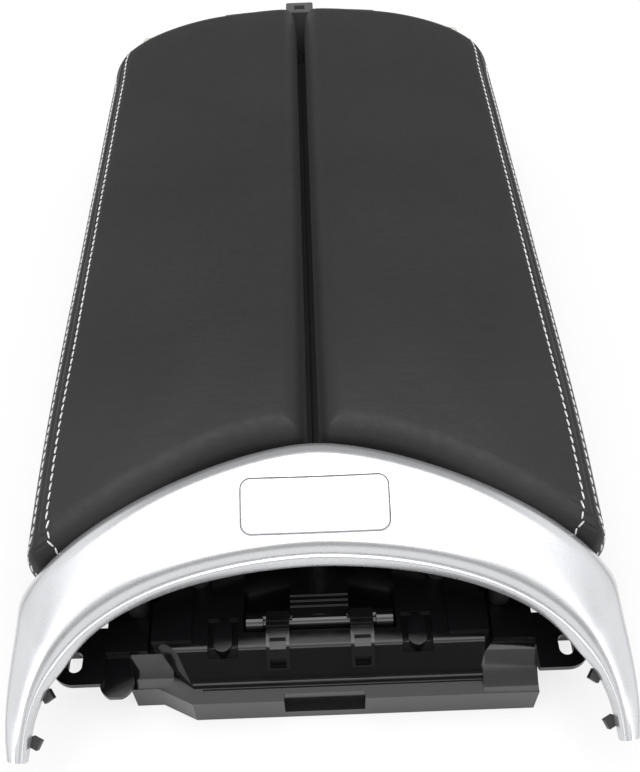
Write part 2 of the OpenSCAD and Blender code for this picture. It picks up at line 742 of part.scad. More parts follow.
ear_web_z = 4;
left_face_y = chin_y + left_setback;
left_end_x = 77;
facet_x = 52;
facet_end_x = housing_mid_x;
block_foot = 4;
strap_x = 17;
strap_w = 9.4;
strap_t = 2;
strap_fall = 9.2;
catch_fall = 8;
catch_w = 6;
ridge_t = 0.6;
capsule_x = 39.2;
capsule_r = 3.7;
capsule_len = 12;
recess_d = 1.8;
recess_w = 12.4;
recess_run = 4.4;
step_x = 52;
outer_step_x = 70;
notch_x = -15.3;
notch_w = 32.6;
notch_d = 3;
notch_z = 5.5;
bead_r = 1;
post_t = 3;

// Half space beyond the oblique facet at the panel's left end, moved in by d
module facet_side(d) {
    a = [-facet_x, panel_low_y, panel_low_z];
    b = [-facet_x - 6, deck_front_y, deck_h];
    c = [-facet_end_x, left_edge_y + 1, side_h];
    n = unit(cross(b - a, c - a));
    in_frame(a - d * n, unit(b - a), n) translate([-2 * deck_h, -2 * deck_h, 0])
        cube([4 * deck_h, 4 * deck_h, 2 * deck_h]);
}

// The housing's outer form, or with d its hollow
module housing_form(d) {
    low = d > 0 ? -1 : 0;
    right = block_profile(side_edge_y, chin_y, bulkhead_y);
    right_front = block_profile(side_edge_y, chin_y, front_end_y);
    left = block_profile(left_edge_y, left_face_y, bulkhead_y);
    left_back = [[left_edge_y, 0], [bulkhead_y, 0], [bulkhead_y, side_h], [left_edge_y, side_h]];
    end = [[left_edge_y, 0], [front_end_y, 0], [front_end_y, side_h], [left_edge_y, side_h]];
    translate([0, 0, low]) linear_extrude(panel_low_z - low - d)
        polygon(d > 0 ? inset(body_plan(), d) : body_plan());
    difference() {
        across(-housing_mid_x + d, housing_mid_x - d)
            polygon(d > 0 ? hollow(housing_core(), d) : housing_profile());
        facet_side(d);
    }
    across(housing_mid_x - 1 + d, rail_in_x - d) polygon(d > 0 ? hollow(right, d) : right);
    across(housing_mid_x - 1 + d, housing_front_x - d)
        polygon(d > 0 ? hollow(right_front, d) : right_front);
    across(-left_end_x + d, -facet_x - 8 - d) polygon(d > 0 ? hollow(left, d) : left);
    across(-rail_in_x + d, -facet_x - 8 - d) polygon(d > 0 ? hollow(left_back, d) : left_back);
    across(-housing_front_x + d, -left_end_x + 1 - d) polygon(d > 0 ? hollow(end, d) : end);
}

// Flat boxes on the deck and on the side blocks
module deck_boxes() {
    for (side = [-1, 1]) on_side(side) {
        translate([step_x, deck_front_y + 3.5, side_h - 1])
            cube([housing_mid_x + 2 - step_x, 17, deck_h - side_h + 2.5]);
        translate([outer_step_x, deck_front_y + 1.6, side_h - 1])
            cube([housing_front_x - outer_step_x, 13.5, 4]);
    }
}

module panel_bead() {
    on_panel() translate([-facet_x, -panel_len + bead_r + 0.4, -0.3]) rotate([0, 90, 0])
        cylinder(r = bead_r, h = facet_x + housing_mid_x - 1);
}

// Catch that the strap's window snaps over
module strap_catch(x) {
    on_panel() translate([x - catch_w / 2, -catch_fall, 0]) rotate([90, 0, 90])
        linear_extrude(catch_w) polygon([[0, -1], [3.4, -1], [3.4, 1.5], [2.4, 1.5], [0, 0.2]]);
}

panel_len = sqrt(panel_run * panel_run + panel_fall * panel_fall);
module front_housing() {
    well_wall_x = well_x + housing_wall;
    color("#0c0c0e") placed() {
        difference() {
            union() {
                difference() {
                    housing_form(0);
                    housing_form(housing_wall);
                }
                intersection() {
                    across(-housing_mid_x, housing_mid_x) polygon(housing_core());
                    translate([-well_wall_x, well_front_y - housing_wall, well_z - housing_wall])
                        cube([2 * well_wall_x, well_back_y - well_front_y + 2 * housing_wall, deck_h]);
                }
                deck_boxes();
                translate([notch_x - housing_wall, chin_y + 0.5, notch_z - housing_wall])
                    cube([notch_w + 2 * housing_wall, notch_d + housing_wall, panel_low_z - notch_z + 1]);
                for (side = [-1, 1]) on_side(side) {
                    latch_post(latch_x - latch_w / 2 - latch_gap - post_t);
                    latch_post(latch_x + latch_w / 2 + latch_gap);
                }
                for (side = [-1, 1]) ear(side);
                for (s = [-1, 1]) translate([s * latch_x, bar_y, pocket_z - 1.5])
                    cylinder(r = pocket_r + 1.5, h = well_z - pocket_z);
                left_tongue();
                panel_bead();
                for (s = [-1, 1]) strap_catch(s * strap_x);
            }
            translate([-well_x, well_front_y, well_z])
                cube([2 * well_x, well_back_y - well_front_y, 2 * deck_h]);
            for (s = [-1, 1]) translate([s * latch_x, 0, 0]) {
                translate([-latch_w / 2 - latch_gap, well_back_y - 1, well_z + 0.5])
                    cube([latch_w + 2 * latch_gap, 8, deck_h]);
                translate([0, bar_y, pocket_z]) cylinder(r = pocket_r, h = deck_h);
                translate([0, latch_y, latch_z]) rotate([0, 90, 0])
                    cylinder(r = latch_pin_r, h = 4 * latch_w, center = true);
            }
            for (s = [-1, 1]) capsule_recess(s * capsule_x);
            translate([notch_x, chin_y - 1, notch_z]) cube([notch_w, notch_d + 1, deck_h]);
            on_panel() translate([-facet_x + 1, -panel_len + 3, -0.8])
                cube([facet_x + housing_mid_x - 3, 1.8, deck_h]);
            translate([-facet_x + 4, panel_low_y - 2.4, panel_low_z - 0.8])
                cube([facet_x + housing_mid_x - 5, 1.8, deck_h]);
            for (s = [-1, 1], q = trim_seats()) translate([s * q[0][0], q[0][1], 0])
                cylinder(r = trim_screw_r, h = deck_h + 1);
            for (s = [-1, 1], z = housing_screw_z) translate([s * housing_screw_x, bulkhead_y - 5, z])
                rotate([-90, 0, 0]) cylinder(r = housing_screw_r, h = 20);
        }
        for (s = [-1, 1]) capsule(s * capsule_x);
    }
}

module left_tongue() {
    back_y = left_edge_y + 1;
    end_y = chin_y + 1;
    r = 6.6;
    translate([0, 0, side_h - 2.6]) linear_extrude(2.6) polygon(concat(
        [[-left_end_x - 0.8, back_y], [-housing_front_x - 1.3, back_y]],
        arc_pts([-housing_front_x - 1.5 + r, end_y + r], r, 180, 250, 5),
        arc_pts([-left_end_x + 2 - r, end_y + r], r, 290, 360, 5)));
}

module latch_post(x) {
    across(x, x + post_t) {
        translate([latch_y - 4, deck_h - 1]) square([8, latch_z - deck_h + 1]);
        translate([latch_y, latch_z]) circle(4);
    }
}

// Raised capsule across the deck's edge and the recess round it
module capsule(x) {
    h = 8.8;
    translate([x, 0, deck_h + 0.8 - h]) linear_extrude(h) {
        translate([0, deck_front_y + capsule_len - capsule_r]) circle(capsule_r);
        translate([0, deck_front_y + 2.2]) circle(capsule_r);
        translate([-capsule_r, deck_front_y + 2.2])
            square([2 * capsule_r, capsule_len - capsule_r - 2.2]);
    }
}

module capsule_recess(x) {
    top = [deck_front_y, deck_h];
    down = unit([-panel_run, -panel_fall]) * recess_run;
    out = unit([-panel_fall, panel_run]);
    back_y = deck_front_y + capsule_len + 1;
    across(x - recess_w / 2, x + recess_w / 2) polygon([
        [back_y, deck_h - recess_d],
        [deck_front_y + recess_d * tan(panel_a / 2), deck_h - recess_d],
        top + down - recess_d * out,
        top + down + recess_d * out,
        top + 3 * out,
        [deck_front_y, deck_h + 3],
        [back_y, deck_h + 3]]);
}

// One station of the arch: its rear edge, its lip edge and its way along the arch
function arch_edges(i) =
    i <= arch_steps
        ? let (t = i / arch_steps)
            [bez(back_curve, t), bez(lip_curve, lip_split * pow(t, lip_power))]
        : let (t = (i - arch_steps) / leg_steps)
            [bez(leg_curve, t), bez(lip_curve, lip_split + (1 - lip_split) * t)];
function arch_frame(i) =
    let (
        n = arch_steps + leg_steps,
        e = arch_edges(i),
        p = arch_edges(min(i + 1, n)),
        q = i == 0 ? [[-p[0][0], p[0][1], p[0][2]], [-p[1][0], p[1][1], p[1][2]]]
                   : arch_edges(i - 1),
        along = unit(p[0] + p[1] - q[0] - q[1]),
        e1 = unit(e[1] - e[0]),
        e2 = unit(cross(e1, along))
    )
    [e[0], e1, e2, norm(e[1] - e[0])];

// Outer and inner sections of the arch, as distances across it and out of it
function arch_outer(w) =
    let (k = min(1, max(0.3, w / 34)), rise = ridge_h * k, rin = ridge_in * k, lip = 4.2 * k)
    [[0.3, -7], [0, -1.5 * k], [0.25 * rin, 0.5 * rise], [0.6 * rin, 0.85 * rise], [rin, rise],
     [(w + rin) / 2, rise * 0.98], [w - 5.2 * k, 0.76 * rise], [w - 2 * k, 0.46 * rise], [w, 0],
     [w - 0.2 * k, -0.8 * k], [w + 0.5 * k, -1.3 * k], [w + 1.4 * k, -1.1 * k],
     [w + 0.55 * lip, -2.2 * k], [w + lip, -6 * k], [w + lip - 0.4, -7]];
function arch_inner(w, d) =
    let (k = min(1, max(0.3, w / 34)), rise = ridge_h * k, rin = ridge_in * k, lip = 4.2 * k, t = d * k)
    [[0.3 + t, -7], [t, -1.5 * k - 0.3 * t], [0.25 * rin + 0.8 * t, 0.5 * rise - 0.7 * t],
     [rin + 0.2 * t, rise - t], [(w + rin) / 2, rise * 0.98 - t], [w - 5.2 * k - 0.2 * t, 0.76 * rise - t],
     [w - 2 * k - 0.7 * t, 0.46 * rise - 0.9 * t], [w - 0.2 * k - t, -0.8 * k - 0.3 * t],
     [w + 0.55 * lip - t, -2.2 * k - 0.2 * t], [w + lip - t, -6 * k], [w + lip - 0.4 - t, -7]];

function reversed(v) = [for (i = [len(v) - 1:-1:0]) v[i]];

// Ring of the shell or of its whole outer form
function arch_ring(i, kind) =
    let (
        f = arch_frame(abs(i)),
        sx = i < 0 ? -1 : 1,
        q = kind == "shell" ? concat(arch_outer(f[3]), reversed(arch_inner(f[3], trim_t)))
          : concat([[0.3, -form_depth]], arch_outer(f[3]), [[f[3], -form_depth]])
    )
    [for (a = q) let (p = f[0] + f[1] * a[0] + f[2] * a[1]) [sx * p[0], p[1], p[2]]];

module arch_loft(kind, n) {
    rings = [for (i = [-n:n]) arch_ring(i, kind)];
    m = len(rings[0]);
    count = len(rings);
    sides = [for (k = [0:count - 2]) for (i = [0:m - 1]) let (j = (i + 1) % m) each
        [[k * m + i, k * m + j, (k + 1) * m + j], [k * m + i, (k + 1) * m + j, (k + 1) * m + i]]];
    polyhedron([for (r = rings) each r],
        concat(sides, [[for (i = [m - 1:-1:0]) i]], [[for (i = [0:m - 1]) (count - 1) * m + i]]));
}

module on_face() {
    translate([0, face_y, face_z]) rotate([face_a, 0, 0]) children();
}

module rounded_plate(w, l, r, h) {
    linear_extrude(h) {
        square([w - 2 * r, l], center = true);
        square([w, l - 2 * r], center = true);
        for (sx = [-1, 1], sy = [-1, 1]) translate([sx * (w / 2 - r), sy * (l / 2 - r)]) circle(r);
    }
}

// Seats of the arch: a point under its skin, the way across it and the way out of it
function seat(i, share) =
    let (f = arch_frame(i), k = min(1, f[3] / 34))
    [f[0] + f[1] * f[3] * share + f[2] * (k * (0.98 * ridge_h - trim_t) - seat_gap), f[1], f[2]];
function trim_seats() = [seat(5, 0.45), seat(7.5, 0.42)];
function post_base(p) = abs(p[0]) < housing_mid_x ? deck_h : side_h;
seat_gap = 0.3;
post_r = 4.5;
// The rails begin behind the brackets that carry the arch
rail_front_y = trim_seats()[1][0][1] + post_r + 1;
front_end_y = rail_front_y - 2;
trim_screw_r = 1.8;
web_h = 14;

// Lays a piece out from a point, with one direction across the arch and one out of it
module in_frame(o, across_dir, out_dir) {
    u = cross(out_dir, across_dir);
    multmatrix([[across_dir[0], u[0], out_dir[0], o[0]],
                [across_dir[1], u[1], out_dir[1], o[1]],
                [across_dir[2], u[2], out_dir[2], o[2]]]) children();
}

module above_seat(q) {
    in_frame(q[0], q[1], q[2])
        translate([-3 * post_r, -3 * post_r, 0]) cube([6 * post_r, 6 * post_r, lid_top]);
}

module trim_arch() {
    color("#c9cacc") placed() {
        difference() {
            arch_loft("shell", arch_steps + leg_steps);
            on_face() translate([0, plate_y, -6]) rounded_plate(button_w + 2 * button_gap,
                button_len + 2 * button_gap, button_corner_r + button_gap, 30);
        }
    }
}

module trim_tip_clips() {
    clip = [4, 4, 3];
    color("#1a1a1a") placed() for (side = [-1, 1]) on_side(side)
        for (i = [arch_steps + 2, arch_steps + leg_steps - 1]) {
            f = arch_frame(i);
            inner_end = arch_inner(f[3], trim_t)[10];
            in_frame(f[0], f[1], f[2]) translate([inner_end[0], -clip[1] / 2, inner_end[1] - clip[2] - 0.12])
                cube(clip);
        }
}

// Brackets that carry the arch on the housing, cut to the slope of its underside
module trim_bracket() {
    spots = trim_seats();
    for (q = spots) difference() {
        translate([q[0][0], q[0][1], post_base(q[0])])
            cylinder(r = post_r, h = q[0][2] - post_base(q[0]) + post_r);
        above_seat(q);
        translate([q[0][0], q[0][1], post_base(q[0]) - 1]) cylinder(r = trim_screw_r, h = 12);
    }
    d = spots[1][0] - spots[0][0];
    translate([spots[0][0][0], spots[0][0][1], deck_h]) rotate([0, 0, atan2(d[1], d[0])])
        translate([post_r / 2, -rib_t / 2, 0]) cube([norm([d[0], d[1]]) - post_r, rib_t, web_h]);
}

module trim_brackets() {
    color("#161616") placed() for (side = [-1, 1]) on_side(side) trim_bracket();
}

module button_guide() {
    outer_w = button_w + 2 * button_gap + 2 * guide_wall;
    outer_len = button_len + 2 * button_gap + 2 * guide_wall;
    color("#161616") placed() on_face() difference() {
        translate([0, plate_y, -guide_depth - 2]) rounded_plate(outer_w, outer_len,
            button_corner_r + guide_wall, guide_depth + 2 - trim_t - guide_gap);
        translate([0, plate_y, -guide_depth]) rounded_plate(button_w + 2 * button_gap,
            button_len + 2 * button_gap, button_corner_r + button_gap, guide_depth);
        translate([0, 0, -guide_depth - 3]) cylinder(r = foot_r + button_gap, h = 4);
    }
}

module release_button() {
    color("#cfd0d2") placed() intersection() {
        on_face() {
            difference() {
                translate([0, plate_y, -cap_depth])
                    rounded_plate(button_w, button_len, button_corner_r, 20);
                translate([0, plate_y, -cap_depth - 1]) rounded_plate(button_w - 2 * cap_wall,
                    button_len - 2 * cap_wall, button_corner_r - cap_wall, cap_depth + 1 - cap_t);
            }
            translate([0, 0, -foot_t_len]) {
                cylinder(r = foot_r, h = foot_t_len - cap_t / 2);
                sphere(r = foot_r);
            }
        }
        arch_loft("whole", mid_steps);
    }
}

// Base plate with two straps that hook over the shaft and snap on the panel's catches
module release_bracket() {
    x1 = strap_x + strap_w / 2;
    x0 = strap_x - strap_w / 2;
    y0 = well_front_y;
    top = deck_h + 3;
    color("#111214") placed() difference() {
        union() {
            translate([-x1, y0, well_z]) cube([2 * x1, 14, 2]);
            for (side = [-1, 1]) on_side(side) {
                across(x0, x1) polygon([[y0, well_z], [y0 + 11, well_z], [y0 + 11, shaft_z + 1],
                    [y0 + 9.5, shaft_z + 3], [y0 + 7.5, top], [deck_front_y + 0.8, top],
                    [deck_front_y - 1, top - 1], [deck_front_y - 0.6, deck_h - 0.6],
                    [deck_front_y + 1, deck_h], [y0, deck_h]]);
                on_panel() translate([x0, -strap_fall, 0]) cube([strap_w, strap_fall + 1, strap_t]);
                for (k = [-4.4, 0, 4.2]) translate([x0, y0 + k / 2 + 1, top - eps])
                    cube([strap_w, 0.9, ridge_t]);
                across(x0 - 1.2, x1 + 1.2) translate([y0 + 5.4, top - 1.4]) circle(1.4);
            }
        }
        translate([0, shaft_y, shaft_z]) rotate([0, 90, 0])
            cylinder(r = shaft_r + pin_clear, h = 4 * shaft_x, center = true);
        for (s = [-1, 1]) {
            on_panel() translate([s * strap_x - catch_w / 2 - 0.3, -catch_fall - 0.3, 0])
                cube([catch_w + 0.6, 4, deck_h]);
            translate([s * strap_x - catch_w / 2 - 0.3, deck_front_y - 2, deck_h + 1.2])
                cube([catch_w + 0.6, 4.6, deck_h]);
        }
    }
}

module release_rocker() {
    color("#17181a") placed() {
        translate([-shaft_x, shaft_y, shaft_z]) rotate([0, 90, 0]) cylinder(r = shaft_r, h = 2 * shaft_x);
        for (s = [-1, 1]) translate([s * (shaft_x - 3.5), shaft_y, shaft_z]) rotate([0, 90, 0])
            cylinder(r = shaft_r + 0.8, h = 7, center = true);
        translate([-plate_w / 2, shaft_y, lever_top - lever_t]) cube([plate_w, 16, lever_t]);
        translate([-8, shaft_y + 15, lever_top - lever_t])
            cube([16, foot_y + foot_r - shaft_y - 15, lever_t]);
        translate([-bar_x, bar_y - 3, bar_z]) cube([2 * bar_x, 6, lever_top - bar_z]);
        for (k = [0:2]) translate([-plate_w / 2, shaft_y + 4.6 + 2.4 * k, lever_top - eps])
            cube([plate_w, 1.1, 0.8]);
    }
}

module latch(side) {
    x0 = latch_x - latch_w / 2;
    y = latch_y;
    z = latch_z;
    nose_y = striker_y - nose_gap;
    color("#8e9092") placed() on_side(side) difference() {
        across(x0, x0 + latch_w) polygon(concat(
            arc_pts([y, z], 4, -70, 10, 6),
            [[y + 1.8, z + 8.8], [nose_y, z + 8.8], [nose_y, z + 9.6], [nose_y - 1, z + 10.8],
             [y - 0.5, z + 11.8], [y - 2, z + 10.5]],
            arc_pts([y, z], 4, 165, 185, 2),
            [[bar_y + 3.2, tail_z - 2.4], [bar_y - 1, tail_z - 2.4], [bar_y - 1.3, tail_z],
             [bar_y - 3.5, tail_z], [bar_y - 3.5, tail_z - 2.5], [bar_y, tail_z - tail_t],
             [bar_y + 4.5, tail_z - tail_t]]));
        translate([latch_x, y, z]) rotate([0, 90, 0])
            cylinder(r = latch_pin_r + pin_clear, h = 4 * latch_w, center = true);
    }
}

module latch_pins() {
    half = latch_w / 2 + latch_gap + post_t;
    color("#9a9c9e") placed() for (s = [-1, 1]) translate([s * latch_x, latch_y, latch_z]) rotate([0, 90, 0])
        cylinder(r = latch_pin_r, h = 2 * half + 1, center = true);
}

module screw(r, len, head_r, head_h) {
    difference() {
        union() {
            cylinder(r = head_r, h = head_h);
            cylinder(r = r, h = head_h + len);
        }
        for (a = [0, 90]) rotate([0, 0, a]) translate([-head_r * 0.6, -0.4, -1])
            cube([head_r * 1.2, 0.8, 1 + head_h * 0.6]);
    }
}

module trim_screws() {
    color("#8e9092") placed() for (s = [-1, 1], q = trim_seats())
        translate([s * q[0][0], q[0][1], post_base(q[0]) - housing_wall - 2])
            screw(trim_screw_r, housing_wall + 10, 3.4, 2);
}

module housing_screws() {
    color("#8e9092") placed() for (s = [-1, 1], z = housing_screw_z)
        translate([s * housing_screw_x, bulkhead_y - housing_wall - 2, z]) rotate([-90, 0, 0])
            screw(housing_screw_r, housing_wall + wall + 6, 3.4, 2);
}

carrier_frame();
front_housing();
trim_arch();
trim_tip_clips();
button_guide();
trim_brackets();
release_bracket();
trim_screws();
housing_screws();
latch_pins();
color("#a8aaac") hinge_rod(-1);  // hinge_rod_left
color("#a8aaac") hinge_rod(1);  // hinge_rod_right
color("#8a8c8e") hinge_bracket(-1, front_hinge_y);  // hinge_bracket_front_left
color("#8a8c8e") hinge_bracket(-1, rear_hinge_y);  // hinge_bracket_rear_left
color("#8a8c8e") hinge_bracket(1, front_hinge_y);  // hinge_bracket_front_right
color("#8a8c8e") hinge_bracket(1, rear_hinge_y);  // hinge_bracket_rear_right
color("#9a9c9e") bracket_screws();
color("#b0b2b4") hinge_spring(-1);  // hinge_spring_left
color("#b0b2b4") hinge_spring(1);  // hinge_spring_right
color("#b0b2b4") latch_spring(-1);  // latch_spring_left
color("#b0b2b4") latch_spring(1);  // latch_spring_right
color("#b0b2b4") rocker_spring();
bump_stops();
tab_end_caps();
color("#2b2b2d") lid_shell(-1);  // lid_shell_left
color("#3c3c3d") lid_pad(-1);  // lid_pad_left
color("#2f2f31") lid_liner(-1);  // lid_liner_left
color("#9a9c9e") striker(-1);  // striker_left
color("#9a9c9e") lid_screws(-1);  // lid_screws_left
color("#2b2b2d") lid_shell(1);  // lid_shell_right
color("#3c3c3d") lid_pad(1);  // lid_pad_right
color("#2f2f31") lid_liner(1);  // lid_liner_right
color("#9a9c9e") striker(1);  // striker_right
color("#9a9c9e") lid_screws(1);  // lid_screws_right
release_button();
release_rocker();
latch(-1);  // latch_left
latch(1);  // latch_right
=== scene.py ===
import json
import math
import bpy
import bmesh
import numpy as np
from mathutils import Vector, Matrix
from mathutils.bvhtree import BVHTree


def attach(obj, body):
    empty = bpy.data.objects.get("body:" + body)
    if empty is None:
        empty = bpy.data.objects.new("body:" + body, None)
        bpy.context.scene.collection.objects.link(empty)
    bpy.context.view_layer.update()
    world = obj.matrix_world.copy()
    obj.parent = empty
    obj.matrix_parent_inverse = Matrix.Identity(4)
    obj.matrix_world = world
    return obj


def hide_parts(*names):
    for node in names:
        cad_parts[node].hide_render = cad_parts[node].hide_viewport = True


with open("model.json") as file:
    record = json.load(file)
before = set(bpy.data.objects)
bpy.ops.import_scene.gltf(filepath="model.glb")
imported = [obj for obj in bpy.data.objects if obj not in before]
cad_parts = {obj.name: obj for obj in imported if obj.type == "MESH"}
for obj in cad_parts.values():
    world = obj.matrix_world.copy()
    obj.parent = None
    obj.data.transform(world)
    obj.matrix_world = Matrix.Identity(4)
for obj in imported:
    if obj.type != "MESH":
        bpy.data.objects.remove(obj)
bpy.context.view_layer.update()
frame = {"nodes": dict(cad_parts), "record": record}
NODES = frame["nodes"]
BODIES = frame["record"]["behaviour"]["bodies"]
scene = bpy.context.scene
scene.view_settings.view_transform = "Standard"
MM = 0.001
SHIFT = 3.9                       # mm from the part's origin forward (-y) to the origin of the numbers below


def link_object(name, data):
    o = bpy.data.objects.new(name, data)
    scene.collection.objects.link(o)
    return o


def mesh_object(name, verts, faces):
    me = bpy.data.meshes.new(name)
    me.from_pydata(verts, [], faces)
    return link_object(name, me)


# ---------------------------------------------------------------- camera, fitted to the photograph's outlines
CAM_PITCH, CAM_YAW, CAM_ROLL = math.radians(51), math.radians(0.2), math.radians(-1.95)
CAM_AT = (2.8, -341 - SHIFT, 402)                      # mm
FOCAL_PX, IMAGE_H_PX, SENSOR_H = 985, 772, 36
CLIP_START = 0.02


def make_camera():
    ahead = math.cos(CAM_PITCH)
    fwd = Vector((math.sin(CAM_YAW) * ahead, math.cos(CAM_YAW) * ahead, -math.sin(CAM_PITCH)))
    right = Vector((math.cos(CAM_YAW), -math.sin(CAM_YAW), 0))
    up = right.cross(fwd)
    cr, sr = math.cos(CAM_ROLL), math.sin(CAM_ROLL)
    data = bpy.data.cameras.new("photo_camera")
    data.sensor_fit = "VERTICAL"
    data.sensor_height = SENSOR_H
    data.lens = FOCAL_PX / IMAGE_H_PX * SENSOR_H
    data.clip_start = CLIP_START
    cam = link_object("photo_camera", data)
    m = Matrix((cr * right + sr * up, -sr * right + cr * up, -fwd)).transposed().to_4x4()
    m.translation = Vector(CAM_AT) * MM
    cam.matrix_world = m
    scene.camera = cam


# ---------------------------------------------------------------- shader helpers
def new_material(name):
    m = bpy.data.materials.new(name)
    m.use_nodes = True
    return m, m.node_tree, m.node_tree.nodes["Principled BSDF"]


def fix(shader, numbers):
    for name, value in numbers.items():
        shader.inputs[name].default_value = value


def add(t, kind, **kw):
    n = t.nodes.new(kind)
    for k, v in kw.items():
        n.inputs[k].default_value = v
    return n


def coords(t, scale=(1, 1, 1)):
    c = t.nodes.new("ShaderNodeTexCoord")
    m = add(t, "ShaderNodeMapping", Scale=scale)
    t.links.new(c.outputs["Object"], m.inputs["Vector"])
    return m.outputs["Vector"]


def noise(t, vec, scale, detail=3, rough=0.5):
    n = add(t, "ShaderNodeTexNoise", Scale=scale, Detail=detail, Roughness=rough)
    t.links.new(vec, n.inputs["Vector"])
    return n.outputs["Fac"]


def cell_pattern(t, vec, scale):
    n = add(t, "ShaderNodeTexVoronoi", Scale=scale)
    t.links.new(vec, n.inputs["Vector"])
    return n.outputs["Distance"]


# A colour ramp through (position, grey or colour) stops
def ramp(t, fac, stops):
    n = t.nodes.new("ShaderNodeValToRGB")
    e = n.color_ramp.elements
    while len(e) < len(stops):
        e.new(0.5)
    for k, (p, c) in enumerate(stops):
        e[k].position = p
        e[k].color = (*c, 1) if hasattr(c, "__len__") else (c, c, c, 1)
    t.links.new(fac, n.inputs["Fac"])
    return n.outputs["Color"]


# Drives a socket from low to high by the middle range of a pattern
def vary(t, socket, fac, low, high, start=0.3, end=0.7):
    t.links.new(ramp(t, fac, [(start, low), (end, high)]), socket)


def shade(base, factor):
    return tuple(c * factor for c in base)


def math_node(t, op, a, b):
    n = t.nodes.new("ShaderNodeMath")
    n.operation = op
    for k, v in enumerate((a, b)):
        if hasattr(v, "is_output"):
            t.links.new(v, n.inputs[k])
        else:
            n.inputs[k].default_value = v
    return n.outputs[0]


def bump(t, height, strength, distance, normal=None):
    n = add(t, "ShaderNodeBump", Strength=strength, Distance=distance)
    t.links.new(height, n.inputs["Height"])
    if normal is not None:
        t.links.new(normal, n.inputs["Normal"])
    return n.outputs["Normal"]


def fine_bump(t, b, vec, scale, strength, distance):
    t.links.new(bump(t, noise(t, vec, scale, 2), strength, distance), b.inputs["Normal"])


# ---------------------------------------------------------------- materials
def leather():
    m, t, b = new_material("grained_leather")
    v = coords(t)
    cells = cell_pattern(t, v, 1500)
    fine = noise(t, v, 2600, 2)
    warp = noise(t, v, 260)
    creases = noise(t, coords(t, (26, 230, 60)), 1.0, 4, 0.6)
    grain = math_node(t, "ADD", math_node(t, "MULTIPLY", cells, 0.75), math_node(t, "MULTIPLY", fine, 0.25))
    grained = bump(t, grain, 0.45, 0.00016)
    creased = bump(t, creases, 0.25, 0.0006, grained)
    t.links.new(bump(t, warp, 0.12, 0.0008, creased), b.inputs["Normal"])
    tone = ramp(t, noise(t, v, 14), [(0.3, (0.0122, 0.0122, 0.0126)), (0.7, (0.0165, 0.0165, 0.0170))])
    mix = t.nodes.new("ShaderNodeMix")
    mix.data_type = "RGBA"
    mix.blend_type = "MULTIPLY"
    mix.inputs["Factor"].default_value = 0.5
    t.links.new(tone, mix.inputs["A"])
    t.links.new(ramp(t, cells, [(0.0, 1.25), (0.6, 0.7)]), mix.inputs["B"])
    t.links.new(mix.outputs["Result"], b.inputs["Base Color"])
    vary(t, b.inputs["Roughness"], warp, 0.50, 0.60)
    fix(b, {"Specular IOR Level": 0.38, "Sheen Weight": 0.05, "Sheen Roughness": 0.5})
    return m


def thread():
    m, t, b = new_material("stitch_thread")
    v = coords(t)
    vary(t, b.inputs["Base Color"], noise(t, v, 1500, 2), (0.50, 0.50, 0.48), (0.78, 0.78, 0.76), 0.35, 0.65)
    fine_bump(t, b, v, 3000, 0.5, 0.0001)
    fix(b, {"Roughness": 0.75})
    return m


def satin(name, base):
    m, t, b = new_material(name)
    v = coords(t)
    rough = 0.28
    vary(t, b.inputs["Base Color"], noise(t, v, 5200, 2), shade(base, 0.96), base)
    vary(t, b.inputs["Roughness"], noise(t, v, 300, 2), rough - 0.015, rough + 0.02)
    fine_bump(t, b, v, 60, 0.02, 0.0003)
    fix(b, {"Metallic": 0.75, "Coat Weight": 0.1, "Coat Roughness": 0.15})
    return m


def plastic(name, base, rough, grain=0.0, grain_scale=1800, coat=0.0, spec=0.5):
    m, t, b = new_material(name)
    v = coords(t)
    vary(t, b.inputs["Base Color"], noise(t, v, 40), shade(base, 0.85), shade(base, 1.12))
    vary(t, b.inputs["Roughness"], noise(t, v, 160), max(0.02, rough - 0.03), rough + 0.04)
    if grain:
        fine_bump(t, b, v, grain_scale, grain, 0.00012)
    else:
        fine_bump(t, b, v, 90, 0.06, 0.0004)
    fix(b, {"Specular IOR Level": spec, "Coat Weight": coat, "Coat Roughness": 0.06})
    return m


def steel():
    m, t, b = new_material("zinc_steel")
    v = coords(t, (1, 40, 1))
    base, rough = (0.46, 0.46, 0.47), 0.34
    vary(t, b.inputs["Base Color"], noise(t, v, 160), shade(base, 0.85), base)
    vary(t, b.inputs["Roughness"], noise(t, v, 220), rough, rough + 0.12)
    fine_bump(t, b, v, 300, 0.08, 0.0001)
    fix(b, {"Metallic": 1.0})
    return m


def caps():
    m, t, b = new_material("pale_cap")
    v = coords(t)
    vary(t, b.inputs["Base Color"], noise(t, v, 300, 2), (0.50, 0.48, 0.43), (0.66, 0.64, 0.58))
    fine_bump(t, b, v, 900, 0.1, 0.0001)
    fix(b, {"Roughness": 0.35, "Subsurface Weight": 0.3, "Subsurface Radius": (0.002, 0.002, 0.0015)})
    return m


M = {
    "leather": leather(),
    "thread": thread(),
    "silver": satin("satin_silver", (0.64, 0.645, 0.665)),
    "button": satin("satin_button", (0.66, 0.665, 0.685)),
    "gloss": plastic("gloss_black", (0.0042, 0.0042, 0.0048), 0.11, coat=0.04, spec=0.34),
    "mech": plastic("mechanism_black", (0.0045, 0.0045, 0.005), 0.13, coat=0.15),
    "matt": plastic("matt_grey", (0.082, 0.082, 0.085), 0.55, 0.4),
    "hidden": plastic("hidden_black", (0.02, 0.02, 0.021), 0.45, 0.3),
    "lid": plastic("lid_black", (0.016, 0.016, 0.017), 0.5, 0.35),
    "liner": plastic("liner_black", (0.022, 0.022, 0.024), 0.6, 0.5, 2400),
    "rubber": plastic("stop_rubber", (0.012, 0.012, 0.012), 0.75, 0.3, 1200),
    "steel": steel(),
    "cap": caps(),
}
